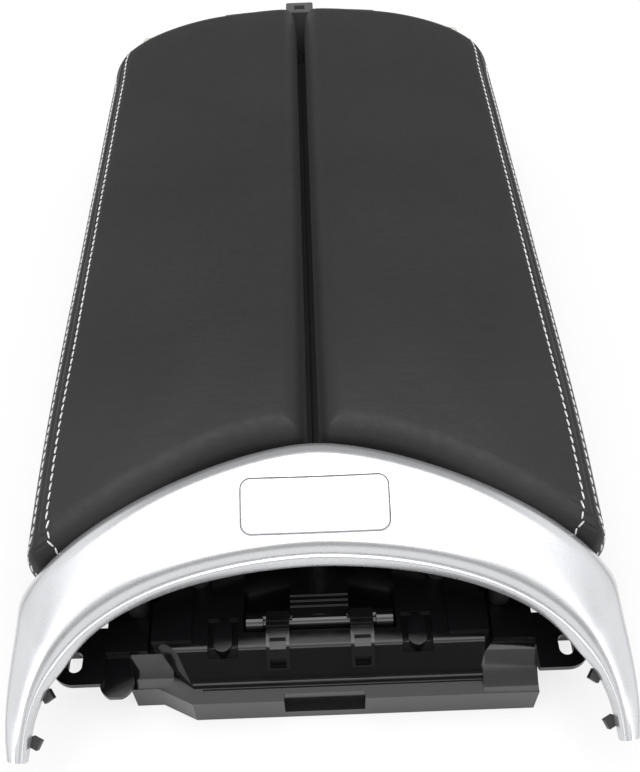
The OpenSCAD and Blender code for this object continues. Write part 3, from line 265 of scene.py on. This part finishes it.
# What each piece of the part is made of; every other piece is steel
PAINT = {
    "carrier_frame": "matt", "front_housing": "gloss", "trim_arch": "silver", "trim_tip_clips": "hidden",
    "button_guide": "hidden", "trim_brackets": "hidden", "release_bracket": "mech", "release_rocker": "mech",
    "release_button": "button", "bump_stops": "rubber", "tab_end_caps": "cap",
    "lid_shell_left": "lid", "lid_shell_right": "lid", "lid_liner_left": "liner", "lid_liner_right": "liner",
    "lid_pad_left": "leather", "lid_pad_right": "leather",
}
for node, solid in NODES.items():
    solid.data.materials.clear()
    solid.data.materials.append(M[PAINT.get(node, "steel")])


# ---------------------------------------------------------------- meshes of rings
# Quads between rows of n points each
def ring_faces(n, rows, base=0):
    faces = []
    for k in range(rows - 1):
        low, high = base + k * n, base + (k + 1) * n
        for i in range(n):
            j = (i + 1) % n
            faces.append((low + i, low + j, high + j, high + i))
    return faces


def to_world(v, side=1):
    v = np.array(v, float)
    v[:, 0] *= side
    v[:, 1] -= SHIFT
    return v * MM


def make_object(name, verts, faces, mat, body, slot, smooth=True, flip=False):
    if flip:
        faces = [tuple(reversed(f)) for f in faces]
    o = mesh_object(name, [tuple(v) for v in verts], faces)
    me = o.data
    me.update()
    me.validate()
    me.materials.append(M[mat])
    if smooth:
        me.polygons.foreach_set("use_smooth", [True] * len(me.polygons))
    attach(o, body)
    return o


# ---------------------------------------------------------------- the lids' form, as in the part's source
half_w, rear_half = 112.5, 107.0            # half width over both pads at the front corners and at the rear
side_len, rear_depth = 310.25, 52.0         # the straight side, and how far the rear edge bows out
gap, arc_r, arc_a = 6.0, 112.0, math.radians(26.5)
corner_r, inner_r, least_r = 4.5, 5.0, 1.5
pad_z, pad_h, roll_r = 54.0, 36.0, 10.0
side_fall, front_fall, rear_fall = 9.0, 7.0, 4.0
front_fade, rear_fade = 48, 64              # lengths over which the top falls off at either end
lid_top = pad_z + pad_h
rear_y = 160.0
corner_y = rear_y - side_len
crest_y = (corner_y + arc_r * (1 - math.cos(arc_a))
           + (half_w - arc_r * math.sin(arc_a)) * math.tan(arc_a))
fade_y = crest_y + front_fade
rear_fade_y = rear_y + rear_depth - rear_fade

# The leather reaches closer to the arch than the plain solid does
PAD_R, PAD_A, PAD_CREST = 108.0, math.radians(29.5), crest_y - 1.4
PAD_RUN, PAD_FALL = PAD_R * math.sin(PAD_A), PAD_R * (1 - math.cos(PAD_A))
# Points along the outline: inner corners, each half of the front, front corner, side, rear bow, slit
TURN_N, FRONT_N, CORNER_N, SIDE_N, REAR_N, SLIT_N = 12, 44, 20, 300, 120, 130
SEAM_FRONT, SEAM_REAR, SEAM_FADE = 0.93, 1.15, 0.2     # where the seam ends, along the front and the bow
RING_PASSES, TOP_PASSES = 14, 30                       # smoothing passes over an outline


def front_y(x, d):
    if x < (PAD_R + d) * math.sin(PAD_A):
        return PAD_CREST - PAD_R + math.sqrt((PAD_R + d) ** 2 - x * x)
    return PAD_CREST - PAD_FALL - (x - PAD_RUN) * math.tan(PAD_A) + d / math.cos(PAD_A)


def side_x(y, d):
    return half_w - (half_w - rear_half) * (y - corner_y) / side_len - d


def arc(cx, cy, r, a0, a1, n):
    a = np.radians(np.linspace(a0, a1, n, endpoint=False))
    return [(cx + r * math.cos(t), cy + r * math.sin(t)) for t in a]


def steps(a, b, n):
    return np.linspace(a, b, n, endpoint=False)


# Plan outline of the right lid, set in by d, with a mark for where the outer seam runs
def outline(d):
    x0 = gap / 2 + d
    r = max(inner_r - d, least_r)
    rc = max(corner_r - d, least_r)
    x1 = (PAD_R + d) * math.sin(PAD_A)
    ccy = front_y(half_w - d - rc - 0.3, d) + rc / math.cos(PAD_A)
    a, b = rear_half - d, rear_depth - d
    turn = math.asin((x0 + r) / a)
    back = rear_y + b * math.cos(turn)
    front = front_y(x0 + r, d) + r
    pts, seam = [], []

    def put(p, s):
        pts.extend(p)
        seam.extend(s if hasattr(s, "__len__") else [s] * len(p))

    put(arc(x0 + r, front, r, 180, 265, TURN_N), 0)
    put([(x, front_y(x, d)) for x in steps(x0 + r, x1, FRONT_N)], 0)
    cx = side_x(ccy, d) - rc
    ca = -90 - math.degrees(PAD_A)
    xe = cx + rc * math.cos(math.radians(ca))
    put([(x, front_y(x, d)) for x in steps(x1, xe, FRONT_N)],
        list(np.clip((np.linspace(0, 1, FRONT_N) - SEAM_FRONT) / (1 - SEAM_FRONT), 0, 1)))
    put(arc(cx, ccy, rc, ca, 0, CORNER_N), 1)
    put([(side_x(y, d), y) for y in steps(ccy, rear_y, SIDE_N)], 1)
    t = steps(math.pi / 2, turn, REAR_N)
    put([(a * math.sin(q), rear_y + b * math.cos(q)) for q in t],
        list(np.clip((t - SEAM_REAR) / SEAM_FADE, 0, 1)))
    put(arc(x0 + r, back - r, r, 95, 180, TURN_N), 0)
    put([(x0, y) for y in steps(back - r, front, SLIT_N)], 0)
    return np.array(pts), np.array(seam)


def pad_top(p):
    x, y = np.abs(p[:, 0]), p[:, 1]
    return (lid_top - side_fall * (x / half_w) ** 3
            - front_fall * (np.maximum(0, fade_y - y) / (fade_y - corner_y)) ** 2
            - rear_fall * (np.maximum(0, y - rear_fade_y) / rear_fade) ** 2)


def smooth_ring(v, passes):
    for _ in range(passes):
        v = 0.5 * v + 0.25 * (np.roll(v, 1, 0) + np.roll(v, -1, 0))
    return v


def arc_length(p):
    return np.concatenate([[0], np.cumsum(np.linalg.norm(np.roll(p, -1, 0) - p, axis=1))[:-1]])


# ---------------------------------------------------------------- leather pads
SKIRT = 3.4                       # how far the leather wraps down round the shell's edge
SKIRT_END, SKIRT_FADE = 140, 40   # the wrap fades out towards the rear tabs
SEAM_A = 62.0                     # angle up the roll, in degrees, of the seam
ROW_A = (45.0, 80.0)              # and of the outer and inner stitch rows
STITCH_PITCH = 4.1
# Set-in, height over the shell's edge, and whether the ring follows the wrap, from the underside outwards
EDGE = ((12, 0.0, 0), (2.7, 0.0, 0), (2.5, -0.2, 1), (2.0, 0.1, 1), (1.2, 0.2, 1), (0.5, 0.9, 1),
        (0.0, 2.6, 1))
WALL_RINGS = 8
WALL_STAND, WALL_BELLY = 0.12, 0.55   # how far the wall stands out all over, and at most more at mid height
ROLL_ANGLES = np.concatenate([np.arange(0, 25, 5), np.arange(25, 82, 1.9), np.arange(82, 90.1, 4)])
TOP_SCALES = (0.97, 0.93, 0.88, 0.82, 0.75, 0.67, 0.58, 0.48, 0.37, 0.25, 0.12)


# The outline at a level height over the shell's edge
def level_ring(d, height):
    p, _ = outline(d)
    p = smooth_ring(p, RING_PASSES)
    return np.column_stack([p, pad_z + height + np.zeros(len(p))])


# The outline on the roll, a degrees up from the wall, with its seam marks
def roll_ring(a):
    d, drop = roll_r * (1 - math.cos(a)), roll_r * (1 - math.sin(a))
    p, seam = outline(d)
    p = smooth_ring(p, RING_PASSES)
    return np.column_stack([p, pad_top(p) - drop]), seam


def hump(a, c, w):
    return math.exp(-((a - c) / w) ** 2)


# How far the leather stands out from the roll at angle a: a sunken seam between two plump edges, and the rows
def seam_relief(a, pucker):
    fold = -0.45 * hump(a, SEAM_A, 3.6) + 0.16 * hump(a, SEAM_A - 9, 6) + 0.16 * hump(a, SEAM_A + 9, 6)
    rows = 0.14 * (hump(a, ROW_A[0], 3.0) + hump(a, ROW_A[1], 3.0))
    dimples = -0.14 * (hump(a, ROW_A[0], 4.5) + hump(a, ROW_A[1], 4.5)) * pucker
    return fold - rows + dimples


def pad_mesh():
    rings = []
    for d, height, wrap in EDGE:
        r = level_ring(d, height)
        r[:, 2] -= wrap * SKIRT * np.clip((SKIRT_END - r[:, 1]) / SKIRT_FADE, 0, 1)
        rings.append(r)
    bottom = rings[-1]
    base, seam = roll_ring(0)
    c2 = np.roll(base, -1, 0)[:, :2] - np.roll(base, 1, 0)[:, :2]
    n2 = np.column_stack([c2[:, 1], -c2[:, 0]])
    n2 /= np.linalg.norm(n2, axis=1)[:, None]
    for k in range(1, WALL_RINGS):
        t = k / WALL_RINGS
        r = bottom * (1 - t) + base * t
        belly = WALL_BELLY * math.sin(math.pi * t) + WALL_STAND
        r[:, :2] += n2 * belly
        rings.append(r)
    pucker = 0.5 + 0.5 * np.cos(2 * math.pi * arc_length(base) / STITCH_PITCH)
    for a in ROLL_ANGLES:
        ar = math.radians(a)
        r, _ = roll_ring(ar)
        off = seam_relief(a, pucker) * seam
        r[:, :2] += n2 * (off * math.cos(ar))[:, None]
        r[:, 2] += off * math.sin(ar)
        rings.append(r)
    last, _ = outline(roll_r)
    last = smooth_ring(last, RING_PASSES)
    c = np.array([half_w / 2 + gap / 2, (crest_y + rear_y + rear_depth) / 2])
    for s in TOP_SCALES:
        k = c + (last - c) * s
        if s < 0.9:
            k = smooth_ring(k, TOP_PASSES)
        rings.append(np.column_stack([k, pad_top(k)]))
    n = len(rings[0])
    top_c = np.array([[*c, pad_top(c[None, :])[0]]])
    low_c = np.array([[*c, pad_z]])
    verts = np.concatenate([*rings, top_c, low_c])
    faces = ring_faces(n, len(rings))
    m = (len(rings) - 1) * n
    for i in range(n):
        faces.append((m + i, m + (i + 1) % n, len(verts) - 2))
        faces.append((i, len(verts) - 1, (i + 1) % n))
    # a soft, uneven stretch of the cover over the foam
    x, y, z = verts.T
    sway = 0.22 * np.sin(x * 0.075 + 1.3) * np.sin(y * 0.043 + 0.4) + 0.12 * np.sin(x * 0.16 + y * 0.09)
    verts[:, 2] += sway * np.clip((z - pad_z - 6) / 14, 0, 1)
    return verts, faces


# ---------------------------------------------------------------- stitches
STITCH_LEN, STITCH_R, STITCH_SLANT, STITCH_SIDES = 3.4, 0.36, math.radians(9.0), 8
STITCH_RAISE, STITCH_LOOK = 0.08, 0.8       # lift off the leather, and how far ahead a stitch points
# A stitch's sections: place along it, thickness, height over the leather
STITCH_FORM = ((-1, 0.25, -0.45), (-0.86, 0.7, -0.1), (-0.5, 1, 0.12), (0, 1.05, 0.2), (0.5, 1, 0.12),
               (0.86, 0.7, -0.1), (1, 0.25, -0.45))
# Where the rows run: outline point and degrees up the roll, from the front hook to the rear edge
ROWS = (((94, -14), (95, 8), (95.3, 34), (97, 57), (102, 76), (110, 83), (128, 82), (155, 81), (230, 82),
         (345, 77), (402, 78), (430, 72), (442, 57), (450, 30), (454, 5)),
        ((106, -34), (109, -16), (112, 5), (116, 26), (121, 39), (128, 44), (200, 45), (400, 45), (412, 36),
         (420, 8)))
ROW_POINTS, ROW_PASSES, ROW_END = 420, 6, 1.5
WALL_DROP = 0.2                   # mm down the wall for each degree below 0


# Short fat threads whose ends dip into the leather
def stitch_mesh(points, normals, tangents):
    verts, faces = [], []
    sides = STITCH_SIDES
    for p, nv, tv in zip(points, normals, tangents):
        dv = math.cos(STITCH_SLANT) * tv + math.sin(STITCH_SLANT) * np.cross(nv, tv)
        sv = np.cross(nv, dv)
        base = len(verts)
        for u, thick, h in STITCH_FORM:
            c = p + dv * (u * STITCH_LEN / 2) + nv * (h * STITCH_R + STITCH_RAISE)
            for k in range(sides):
                t = 2 * math.pi * k / sides
                verts.append(c + thick * STITCH_R * (math.cos(t) * sv + math.sin(t) * nv))
        faces += ring_faces(sides, len(STITCH_FORM), base)
        faces.append(tuple(base + k for k in reversed(range(sides))))
        faces.append(tuple(base + (len(STITCH_FORM) - 1) * sides + k for k in range(sides)))
    return np.array(verts), faces


# A point of the roll, with angles below 0 going down the wall
def skin(station, a):
    r, _ = roll_ring(math.radians(max(a, 0)))
    k = int(station)
    p = r[k] * (k + 1 - station) + r[k + 1] * (station - k)
    p[2] += WALL_DROP * min(a, 0)
    return p


def row_path(row):
    at, up = np.array(row, float).T
    k = np.linspace(0, len(row) - 1, ROW_POINTS)
    at, up = np.interp(k, range(len(row)), at), np.interp(k, range(len(row)), up)
    p = np.array([skin(q, a) for q, a in zip(at, up)])
    for _ in range(ROW_PASSES):
        p[1:-1] = (p[:-2] + 2 * p[1:-1] + p[2:]) / 4
    return p


def stitches(tree):
    all_verts, all_faces, count = [], [], 0
    for row in ROWS:
        p = row_path(row)
        run = np.concatenate([[0], np.cumsum(np.linalg.norm(np.diff(p, axis=0), axis=1))])
        at = np.arange(ROW_END, run[-1] - ROW_END, STITCH_PITCH)
        pts = np.column_stack([np.interp(at, run, p[:, k]) for k in range(3)])
        ahead = np.column_stack([np.interp(at + STITCH_LOOK, run, p[:, k]) for k in range(3)])
        normals = []
        for k in range(len(pts)):
            spot, normal, _, _ = tree.find_nearest(Vector(pts[k]))
            pts[k] = spot
            normals.append(normal)
            ahead[k] = tree.find_nearest(Vector(ahead[k]))[0]
        normals = np.array(normals)
        tangents = ahead - pts
        tangents -= normals * np.sum(tangents * normals, axis=1)[:, None]
        tangents /= np.linalg.norm(tangents, axis=1)[:, None]
        v, f = stitch_mesh(pts, normals, tangents)
        all_faces += [tuple(i + count for i in q) for q in f]
        all_verts.append(v)
        count += len(v)
    return np.concatenate(all_verts), all_faces


pad_v, pad_f = pad_mesh()
stitch_v, stitch_f = stitches(BVHTree.FromPolygons([tuple(v) for v in pad_v], pad_f))
for side, name in ((1, "right"), (-1, "left")):
    pad = make_object("pad_" + name, to_world(pad_v, side), pad_f, "leather", "lid_" + name, "pad_leather",
                      flip=side < 0)
    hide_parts("lid_pad_" + name)
    make_object("stitch_rows_" + name, to_world(stitch_v, side), stitch_f, "thread", "lid_" + name,
                "pad_leather", flip=side < 0)


# ---------------------------------------------------------------- thin dark strips on the shells' inner walls, painted shade that keeps the slit between the lids dark
SHADE_STRIP_TOP, SHELL_WALL = pad_z - 0.6, 0.5
SHADE_STRIP_FOOT = SHADE_STRIP_TOP - 7.0
SHADE_STRIP_Y = (crest_y + 9, rear_y + rear_depth - 4)


# A dark strip along a lid's inner wall: painted shade standing in for the shadow deep in the slit
def shade_strip(name, section, body):
    n = len(section)
    v = [(x, y, z) for y in SHADE_STRIP_Y for x, z in section]
    f = [tuple(range(n)), tuple(range(2 * n - 1, n - 1, -1))]
    f += [(i, n + i, n + (i + 1) % n, (i + 1) % n) for i in range(n)]
    make_object(name, to_world(v), f, "rubber", body, "stop_rubber", smooth=False)


shade_strip("slit_shade_strip_left",
     [(-SHELL_WALL, SHADE_STRIP_TOP), (-SHELL_WALL, SHADE_STRIP_FOOT), (0.25, SHADE_STRIP_FOOT), (-0.4, SHADE_STRIP_TOP)], "lid_left")
shade_strip("slit_shade_strip_right",
     [(SHELL_WALL, SHADE_STRIP_TOP), (-0.22, SHADE_STRIP_TOP), (0.42, SHADE_STRIP_FOOT), (SHELL_WALL, SHADE_STRIP_FOOT)], "lid_right")


# ---------------------------------------------------------------- silver arch, finer than the solid
def vec(x, y, z):
    return np.array((x, y, z), float)


ARCH_END, ARCH_KNEE, KNEE_T = 18, 12, 0.8   # stations from the middle to a tip, and where the leg begins
ARCH_RINGS, ARCH_BLUR, BLUR_WIDTH = 300, 12, 5.0
FULL_W, LEAST_K = 34, 0.3                   # the section keeps its form down to this width, then shrinks
TRIM_T, TRIM_FOOT = 2.5, -7
arch_y, arch_z = crest_y - 4, lid_top - 6.5
lip_y, lip_z = arch_y - 42, arch_z - 14.5
tip_y = corner_y - 65.75
shoulder = vec(half_w + 2, corner_y - 12, arch_z - 24.5)
tip_out = vec(half_w + 5, tip_y, 34)
back_c = [vec(0, arch_y, arch_z), vec(31, arch_y, arch_z), vec(half_w - 18, corner_y + 6.5, arch_z + 3),
          shoulder]
leg_c = [shoulder, shoulder + vec(1.2, -18, -6.4), tip_out + vec(3.6, 17, 7), tip_out]
lip_c = [vec(0, lip_y, lip_z), vec(4, lip_y, lip_z), vec(half_w, lip_y, lip_z), tip_out + vec(-5.4, -1, -0.5)]


def bezier(p, t):
    return (1 - t) ** 3 * p[0] + 3 * (1 - t) ** 2 * t * p[1] + 3 * (1 - t) * t * t * p[2] + t ** 3 * p[3]


# The arch's rear and front edge at a station
def edges_at(i):
    if i < 0:
        a, b = edges_at(-i)
        return a * vec(-1, 1, 1), b * vec(-1, 1, 1)
    if i <= ARCH_KNEE:
        t = i / ARCH_KNEE
        return bezier(back_c, t), bezier(lip_c, KNEE_T * t ** 0.65)
    t = (i - ARCH_KNEE) / (ARCH_END - ARCH_KNEE)
    return bezier(leg_c, t), bezier(lip_c, KNEE_T + (1 - KNEE_T) * t)


def unit(v):
    return v / np.linalg.norm(v)


# Origin, direction across, direction up and width of the section at a station
def frame_at(i):
    e = edges_at(i)
    p = edges_at(min(i + 1, ARCH_END))
    q = edges_at(i - 1)
    along = unit(p[0] + p[1] - q[0] - q[1])
    e1 = unit(e[1] - e[0])
    return e[0], e1, unit(np.cross(e1, along)), np.linalg.norm(e[1] - e[0])


def section_sizes(w):
    k = min(1, max(LEAST_K, w / FULL_W))
    return k, 5.9 * k, 8 * k, 4.2 * k


def outer_section(w):
    k, r, rin, lip = section_sizes(w)
    return [(0.3, TRIM_FOOT), (0, -1.5 * k), (0.25 * rin, 0.5 * r), (0.6 * rin, 0.85 * r), (rin, r),
            ((w + rin) / 2, r * 0.98), (w - 5.2 * k, 0.76 * r), (w - 2 * k, 0.46 * r), (w, 0),
            (w - 0.2 * k, -0.8 * k), (w + 0.5 * k, -1.3 * k), (w + 1.4 * k, -1.1 * k),
            (w + 0.55 * lip, -2.2 * k), (w + lip, -6 * k), (w + lip - 0.4, TRIM_FOOT)]


def inner_section(w):
    k, r, rin, lip = section_sizes(w)
    t = TRIM_T * k
    return [(0.3 + t, TRIM_FOOT), (t, -1.5 * k - 0.3 * t), (0.25 * rin + 0.8 * t, 0.5 * r - 0.7 * t),
            (rin + 0.2 * t, r - t), ((w + rin) / 2, r * 0.98 - t), (w - 5.2 * k - 0.2 * t, 0.76 * r - t),
            (w - 2 * k - 0.7 * t, 0.46 * r - 0.9 * t), (w - 0.2 * k - t, -0.8 * k - 0.3 * t),
            (w + 0.55 * lip - t, -2.2 * k - 0.2 * t), (w + lip - t, -6 * k), (w + lip - 0.4 - t, TRIM_FOOT)]


# Cuts the corners of an open line, passes times
def cut_corners(p, passes):
    p = np.array(p, float)
    for _ in range(passes):
        q = [p[0]]
        for a, b in zip(p[:-1], p[1:]):
            q += [a * 0.75 + b * 0.25, a * 0.25 + b * 0.75]
        q.append(p[-1])
        p = np.array(q)
    return p


def arch_mesh():
    rings = []
    for s in np.linspace(-ARCH_END, ARCH_END, 2 * ARCH_RINGS + 1):
        o, e1, e2, w = frame_at(abs(s))
        sec = np.concatenate([cut_corners(outer_section(w), 2), cut_corners(inner_section(w), 1)[::-1]])
        ring = o + sec[:, :1] * e1 + sec[:, 1:] * e2
        ring[:, 0] *= -1 if s < 0 else 1
        rings.append(ring)
    rings = np.array(rings)
    # blurred along the arch, so that the knee is smooth
    longer = np.concatenate([np.repeat(rings[:1], ARCH_BLUR, 0), rings, np.repeat(rings[-1:], ARCH_BLUR, 0)])
    g = np.exp(-0.5 * (np.arange(-ARCH_BLUR, ARCH_BLUR + 1) / BLUR_WIDTH) ** 2)
    g /= g.sum()
    soft = sum(g[k] * longer[k:k + len(rings)] for k in range(len(g)))
    soft[0], soft[-1] = rings[0], rings[-1]
    c, m = soft.shape[:2]
    faces = ring_faces(m, c)
    faces.append(tuple(range(m - 1, -1, -1)))
    faces.append(tuple((c - 1) * m + i for i in range(m)))
    shown = len(cut_corners(outer_section(30), 2)) - 1
    return soft.reshape(-1, 3), faces, [0 if k % m < shown else 1 for k in range(len(faces))]


# ---------------------------------------------------------------- the button and its opening
BUTTON_W, BUTTON_L, BUTTON_R = 57, 21.5, 4
OPEN_W, OPEN_L, OPEN_R, OPEN_LOW, OPEN_HIGH = 57.8, 22.3, 4.4, -6, 20
STEM_LEN, STEM_R, STEM_SEG = 49.6, 4, 28
STEM_TOP, STEM_LOW = -8.0, 8      # the stem's upper end, and its lowest ring's height over the round foot
PLATE_Y = -3.7
RAY_HEIGHT = 0.03                 # m over the face from which the arch's surface is searched
OPEN_SHARP_A, CAP_SHARP_A = math.radians(38), math.radians(50)
FACE = (Matrix.Translation(Vector((0, arch_y - 23.5 - SHIFT, arch_z - 2.55)) * MM)
        @ Matrix.Rotation(math.radians(21.6), 4, "X"))
# Set-in and depth of the cap's edge, from its lower rim to the top; then the scales of the rings on top
CAP_EDGE = ((-0.28, 7.5), (-0.28, 0.75), (-0.2, 0.48), (-0.06, 0.28), (0.1, 0.13), (0.3, 0.04), (0.5, 0.0))
CAP_SCALES = (0.95, 0.88, 0.78, 0.66, 0.52, 0.36, 0.18)


# Outline of a rectangle with round corners
def rounded(w, l, r, n=14):
    pts = []
    x, y = w / 2 - r, l / 2 - r
    for cx, cy, a0 in ((x, y, 0), (-x, y, 90), (-x, -y, 180), (x, -y, 270)):
        for k in range(n + 1):
            a = math.radians(a0 + 90 * k / n)
            pts.append((cx + r * math.cos(a), cy + r * math.sin(a)))
    return pts


# The same outline with points no more than about 1 mm apart
def dense(pts):
    out = []
    for k, p in enumerate(pts):
        q = pts[(k + 1) % len(pts)]
        n = max(1, int(math.dist(p, q)))
        out += [(p[0] + (q[0] - p[0]) * i / n, p[1] + (q[1] - p[1]) * i / n) for i in range(n)]
    return out


# The arch, and a search tree of its surface before the opening is cut
def make_arch():
    verts, faces, inside = arch_mesh()
    o = make_object("arch_skin", to_world(verts), faces, "silver", "frame", "silver_trim")
    o.data.materials.append(M["hidden"])
    o.data.polygons.foreach_set("material_index", inside)
    bm = bmesh.new()
    bm.from_mesh(o.data)
    bmesh.ops.recalc_face_normals(bm, faces=bm.faces)
    bm.to_mesh(o.data)
    surface = BVHTree.FromBMesh(bm)
    bm.free()
    return o, surface


def apply_modifiers(o):
    bpy.context.view_layer.update()
    dg = bpy.context.evaluated_depsgraph_get()
    me = bpy.data.meshes.new_from_object(o.evaluated_get(dg))
    o.modifiers.clear()
    o.data = me


def cut_opening(o):
    pts = [(x, y + PLATE_Y) for x, y in rounded(OPEN_W, OPEN_L, OPEN_R)]
    n = len(pts)
    v = [FACE @ Vector((x * MM, y * MM, z * MM)) for z in (OPEN_LOW, OPEN_HIGH) for x, y in pts]
    f = [tuple(range(n - 1, -1, -1)), tuple(range(n, 2 * n))] + ring_faces(n, 2)
    cut = mesh_object("cutter", v, f)
    mod = o.modifiers.new("opening", "BOOLEAN")
    mod.operation = "DIFFERENCE"
    mod.solver = "EXACT"
    mod.object = cut
    apply_modifiers(o)
    bpy.data.objects.remove(cut)
    o.data.shade_smooth()
    o.data.set_sharp_from_angle(angle=OPEN_SHARP_A)


# The cap follows the arch's surface; its stem goes down to the rocker and ends in a round foot
def button_mesh(surface):
    normal = FACE.to_3x3() @ Vector((0, 0, 1))

    def on_skin(x, y):
        o = FACE @ Vector((x * MM, (y + PLATE_Y) * MM, RAY_HEIGHT))
        return surface.ray_cast(o, -normal)[0]

    base = np.array(dense(rounded(BUTTON_W, BUTTON_L, BUTTON_R)))
    n = len(base)
    rings = []
    for inset, drop in CAP_EDGE:
        kx, ky = 1 - 2 * inset / BUTTON_W, 1 - 2 * inset / BUTTON_L
        rings.append([(x * kx, y * ky, drop) for x, y in base])
    for s in CAP_SCALES:
        rings.append([(x * s, y * s, 0.0) for x, y in base])
    verts = [on_skin(x, y) - normal * drop * MM for r in rings for x, y, drop in r]
    verts.append(on_skin(0, 0))
    faces = ring_faces(n, len(rings))
    m = (len(rings) - 1) * n
    faces += [(m + i, m + (i + 1) % n, len(verts) - 1) for i in range(n)]
    faces.append(tuple(range(n - 1, -1, -1)))
    foot = [(STEM_R * math.sin(a), -STEM_LEN - STEM_R * math.cos(a)) for a in np.radians(range(10, 91, 10))]
    profile = foot + [(STEM_R, -STEM_LEN + STEM_LOW), (STEM_R, STEM_TOP)]
    tip = len(verts)
    verts.append(FACE @ Vector((0, 0, (-STEM_LEN - STEM_R) * MM)))
    for r, z in profile:
        for k in range(STEM_SEG):
            a = 2 * math.pi * k / STEM_SEG
            verts.append(FACE @ Vector((r * math.cos(a) * MM, r * math.sin(a) * MM, z * MM)))
    faces += [(tip, tip + 1 + (k + 1) % STEM_SEG, tip + 1 + k) for k in range(STEM_SEG)]
    faces += ring_faces(STEM_SEG, len(profile), tip + 1)
    return verts, faces


arch, arch_surface = make_arch()
cut_opening(arch)
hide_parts("trim_arch")
button = make_object("button_cap", *button_mesh(arch_surface), "button", "button", "button_silver")
button.data.set_sharp_from_angle(angle=CAP_SHARP_A)
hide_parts("release_button")


# ---------------------------------------------------------------- moulded edges on copies of CAD pieces
MERGE, FLAT_A, SHARP_A, BEVEL_A = 0.00001, math.radians(0.15), math.radians(30), math.radians(35)


# Gives a copy of a CAD piece small bevels. Faces with more than split corners become triangles first, because
# the bevel would otherwise leave large faces whose outline crosses itself
def soften(node, width, mat, split=0):
    me = NODES[node].data.copy()
    o = link_object(node + "_moulded", me)
    bm = bmesh.new()
    bm.from_mesh(me)
    bmesh.ops.remove_doubles(bm, verts=bm.verts, dist=MERGE)
    bmesh.ops.dissolve_limit(bm, angle_limit=FLAT_A, verts=bm.verts, edges=bm.edges)
    if split:
        bmesh.ops.triangulate(bm, faces=[f for f in bm.faces if len(f.verts) > split])
    bm.to_mesh(me)
    bm.free()
    me.shade_smooth()
    me.set_sharp_from_angle(angle=SHARP_A)
    edge = o.modifiers.new("edge", "BEVEL")
    edge.width = width * MM
    edge.segments = 2
    edge.limit_method = "ANGLE"
    edge.angle_limit = BEVEL_A
    edge.harden_normals = False
    edge.use_clamp_overlap = True
    flat = o.modifiers.new("flat", "WEIGHTED_NORMAL")
    flat.keep_sharp = True
    apply_modifiers(o)
    o.data.materials.clear()
    o.data.materials.append(M[mat])
    body = [k for k, held in BODIES.items() if node in held][0]
    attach(o, body)
    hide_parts(node)


soften("front_housing", 0.45, "gloss", split=8)
soften("release_bracket", 0.18, "mech")
soften("release_rocker", 0.35, "mech")
soften("carrier_frame", 0.4, "matt")


# ---------------------------------------------------------------- floor and light
FLOOR_HALF, FLOOR_Z, FLOOR_GREY = 6.0, -0.0005, 0.82
FLOOR_WHITE = 0.72                # share of plain white that the camera sees; the rest keeps the shadow


def make_floor():
    s, z = FLOOR_HALF, FLOOR_Z
    o = mesh_object("floor", [(-s, -s, z), (s, -s, z), (s, s, z), (-s, s, z)], [(0, 1, 2, 3)])
    m = bpy.data.materials.new("pale_floor")
    m.use_nodes = True
    t = m.node_tree
    t.nodes.clear()
    out = t.nodes.new("ShaderNodeOutputMaterial")
    dif = add(t, "ShaderNodeBsdfDiffuse", Color=(FLOOR_GREY, FLOOR_GREY, FLOOR_GREY, 1))
    em = add(t, "ShaderNodeEmission", Color=(1, 1, 1, 1), Strength=1.0)
    mix = t.nodes.new("ShaderNodeMixShader")
    seen = t.nodes.new("ShaderNodeLightPath").outputs["Is Camera Ray"]
    t.links.new(math_node(t, "MULTIPLY", seen, FLOOR_WHITE), mix.inputs[0])
    t.links.new(dif.outputs[0], mix.inputs[1])
    t.links.new(em.outputs[0], mix.inputs[2])
    t.links.new(mix.outputs[0], out.inputs["Surface"])
    o.data.materials.append(m)


def lamp(name, where, target, size, power, size_y=None):
    d = bpy.data.lights.new(name, "AREA")
    d.energy = power
    d.size = size
    if size_y:
        d.shape = "RECTANGLE"
        d.size_y = size_y
    o = link_object(name, d)
    o.location = where
    o.rotation_euler = (Vector(target) - Vector(where)).to_track_quat("-Z", "Y").to_euler()


# A soft dome whose bright part leans to the front, with pale panels at both sides
def make_light():
    w = bpy.data.worlds.new("studio")
    scene.world = w
    w.use_nodes = True
    t = w.node_tree
    bg = t.nodes["Background"]
    c = t.nodes.new("ShaderNodeTexCoord")
    xyz = t.nodes.new("ShaderNodeSeparateXYZ")
    t.links.new(c.outputs["Generated"], xyz.inputs["Vector"])
    x, y, z = (xyz.outputs[k] for k in "XYZ")
    lean = math_node(t, "ADD", math_node(t, "MULTIPLY", z, 0.94), math_node(t, "MULTIPLY", y, -0.35))
    dome = ramp(t, lean, [(0.0, 0.26), (0.45, 0.20), (0.74, 0.34), (0.90, 1.35), (1.0, 1.8)])
    aside = ramp(t, math_node(t, "ABSOLUTE", x, 0.0), [(0.0, 0.0), (0.40, 0.0), (0.60, 1.15), (1.0, 0.9)])
    upper = ramp(t, z, [(0.0, 0.0), (0.05, 0.0), (0.25, 1.0), (1.0, 1.0)])
    panels = math_node(t, "MULTIPLY", aside, upper)
    t.links.new(math_node(t, "MAXIMUM", dome, panels), bg.inputs["Color"])
    fix(bg, {"Strength": 1.0})
    lamp("top_box", (0.0, 0.0, 1.6), (0, 0, 0.05), 1.3, 13)
    lamp("front_box", (-0.1, -1.5, 1.2), (0, -0.15, 0.05), 1.1, 3.5, 0.5)


make_camera()
make_floor()
make_light()
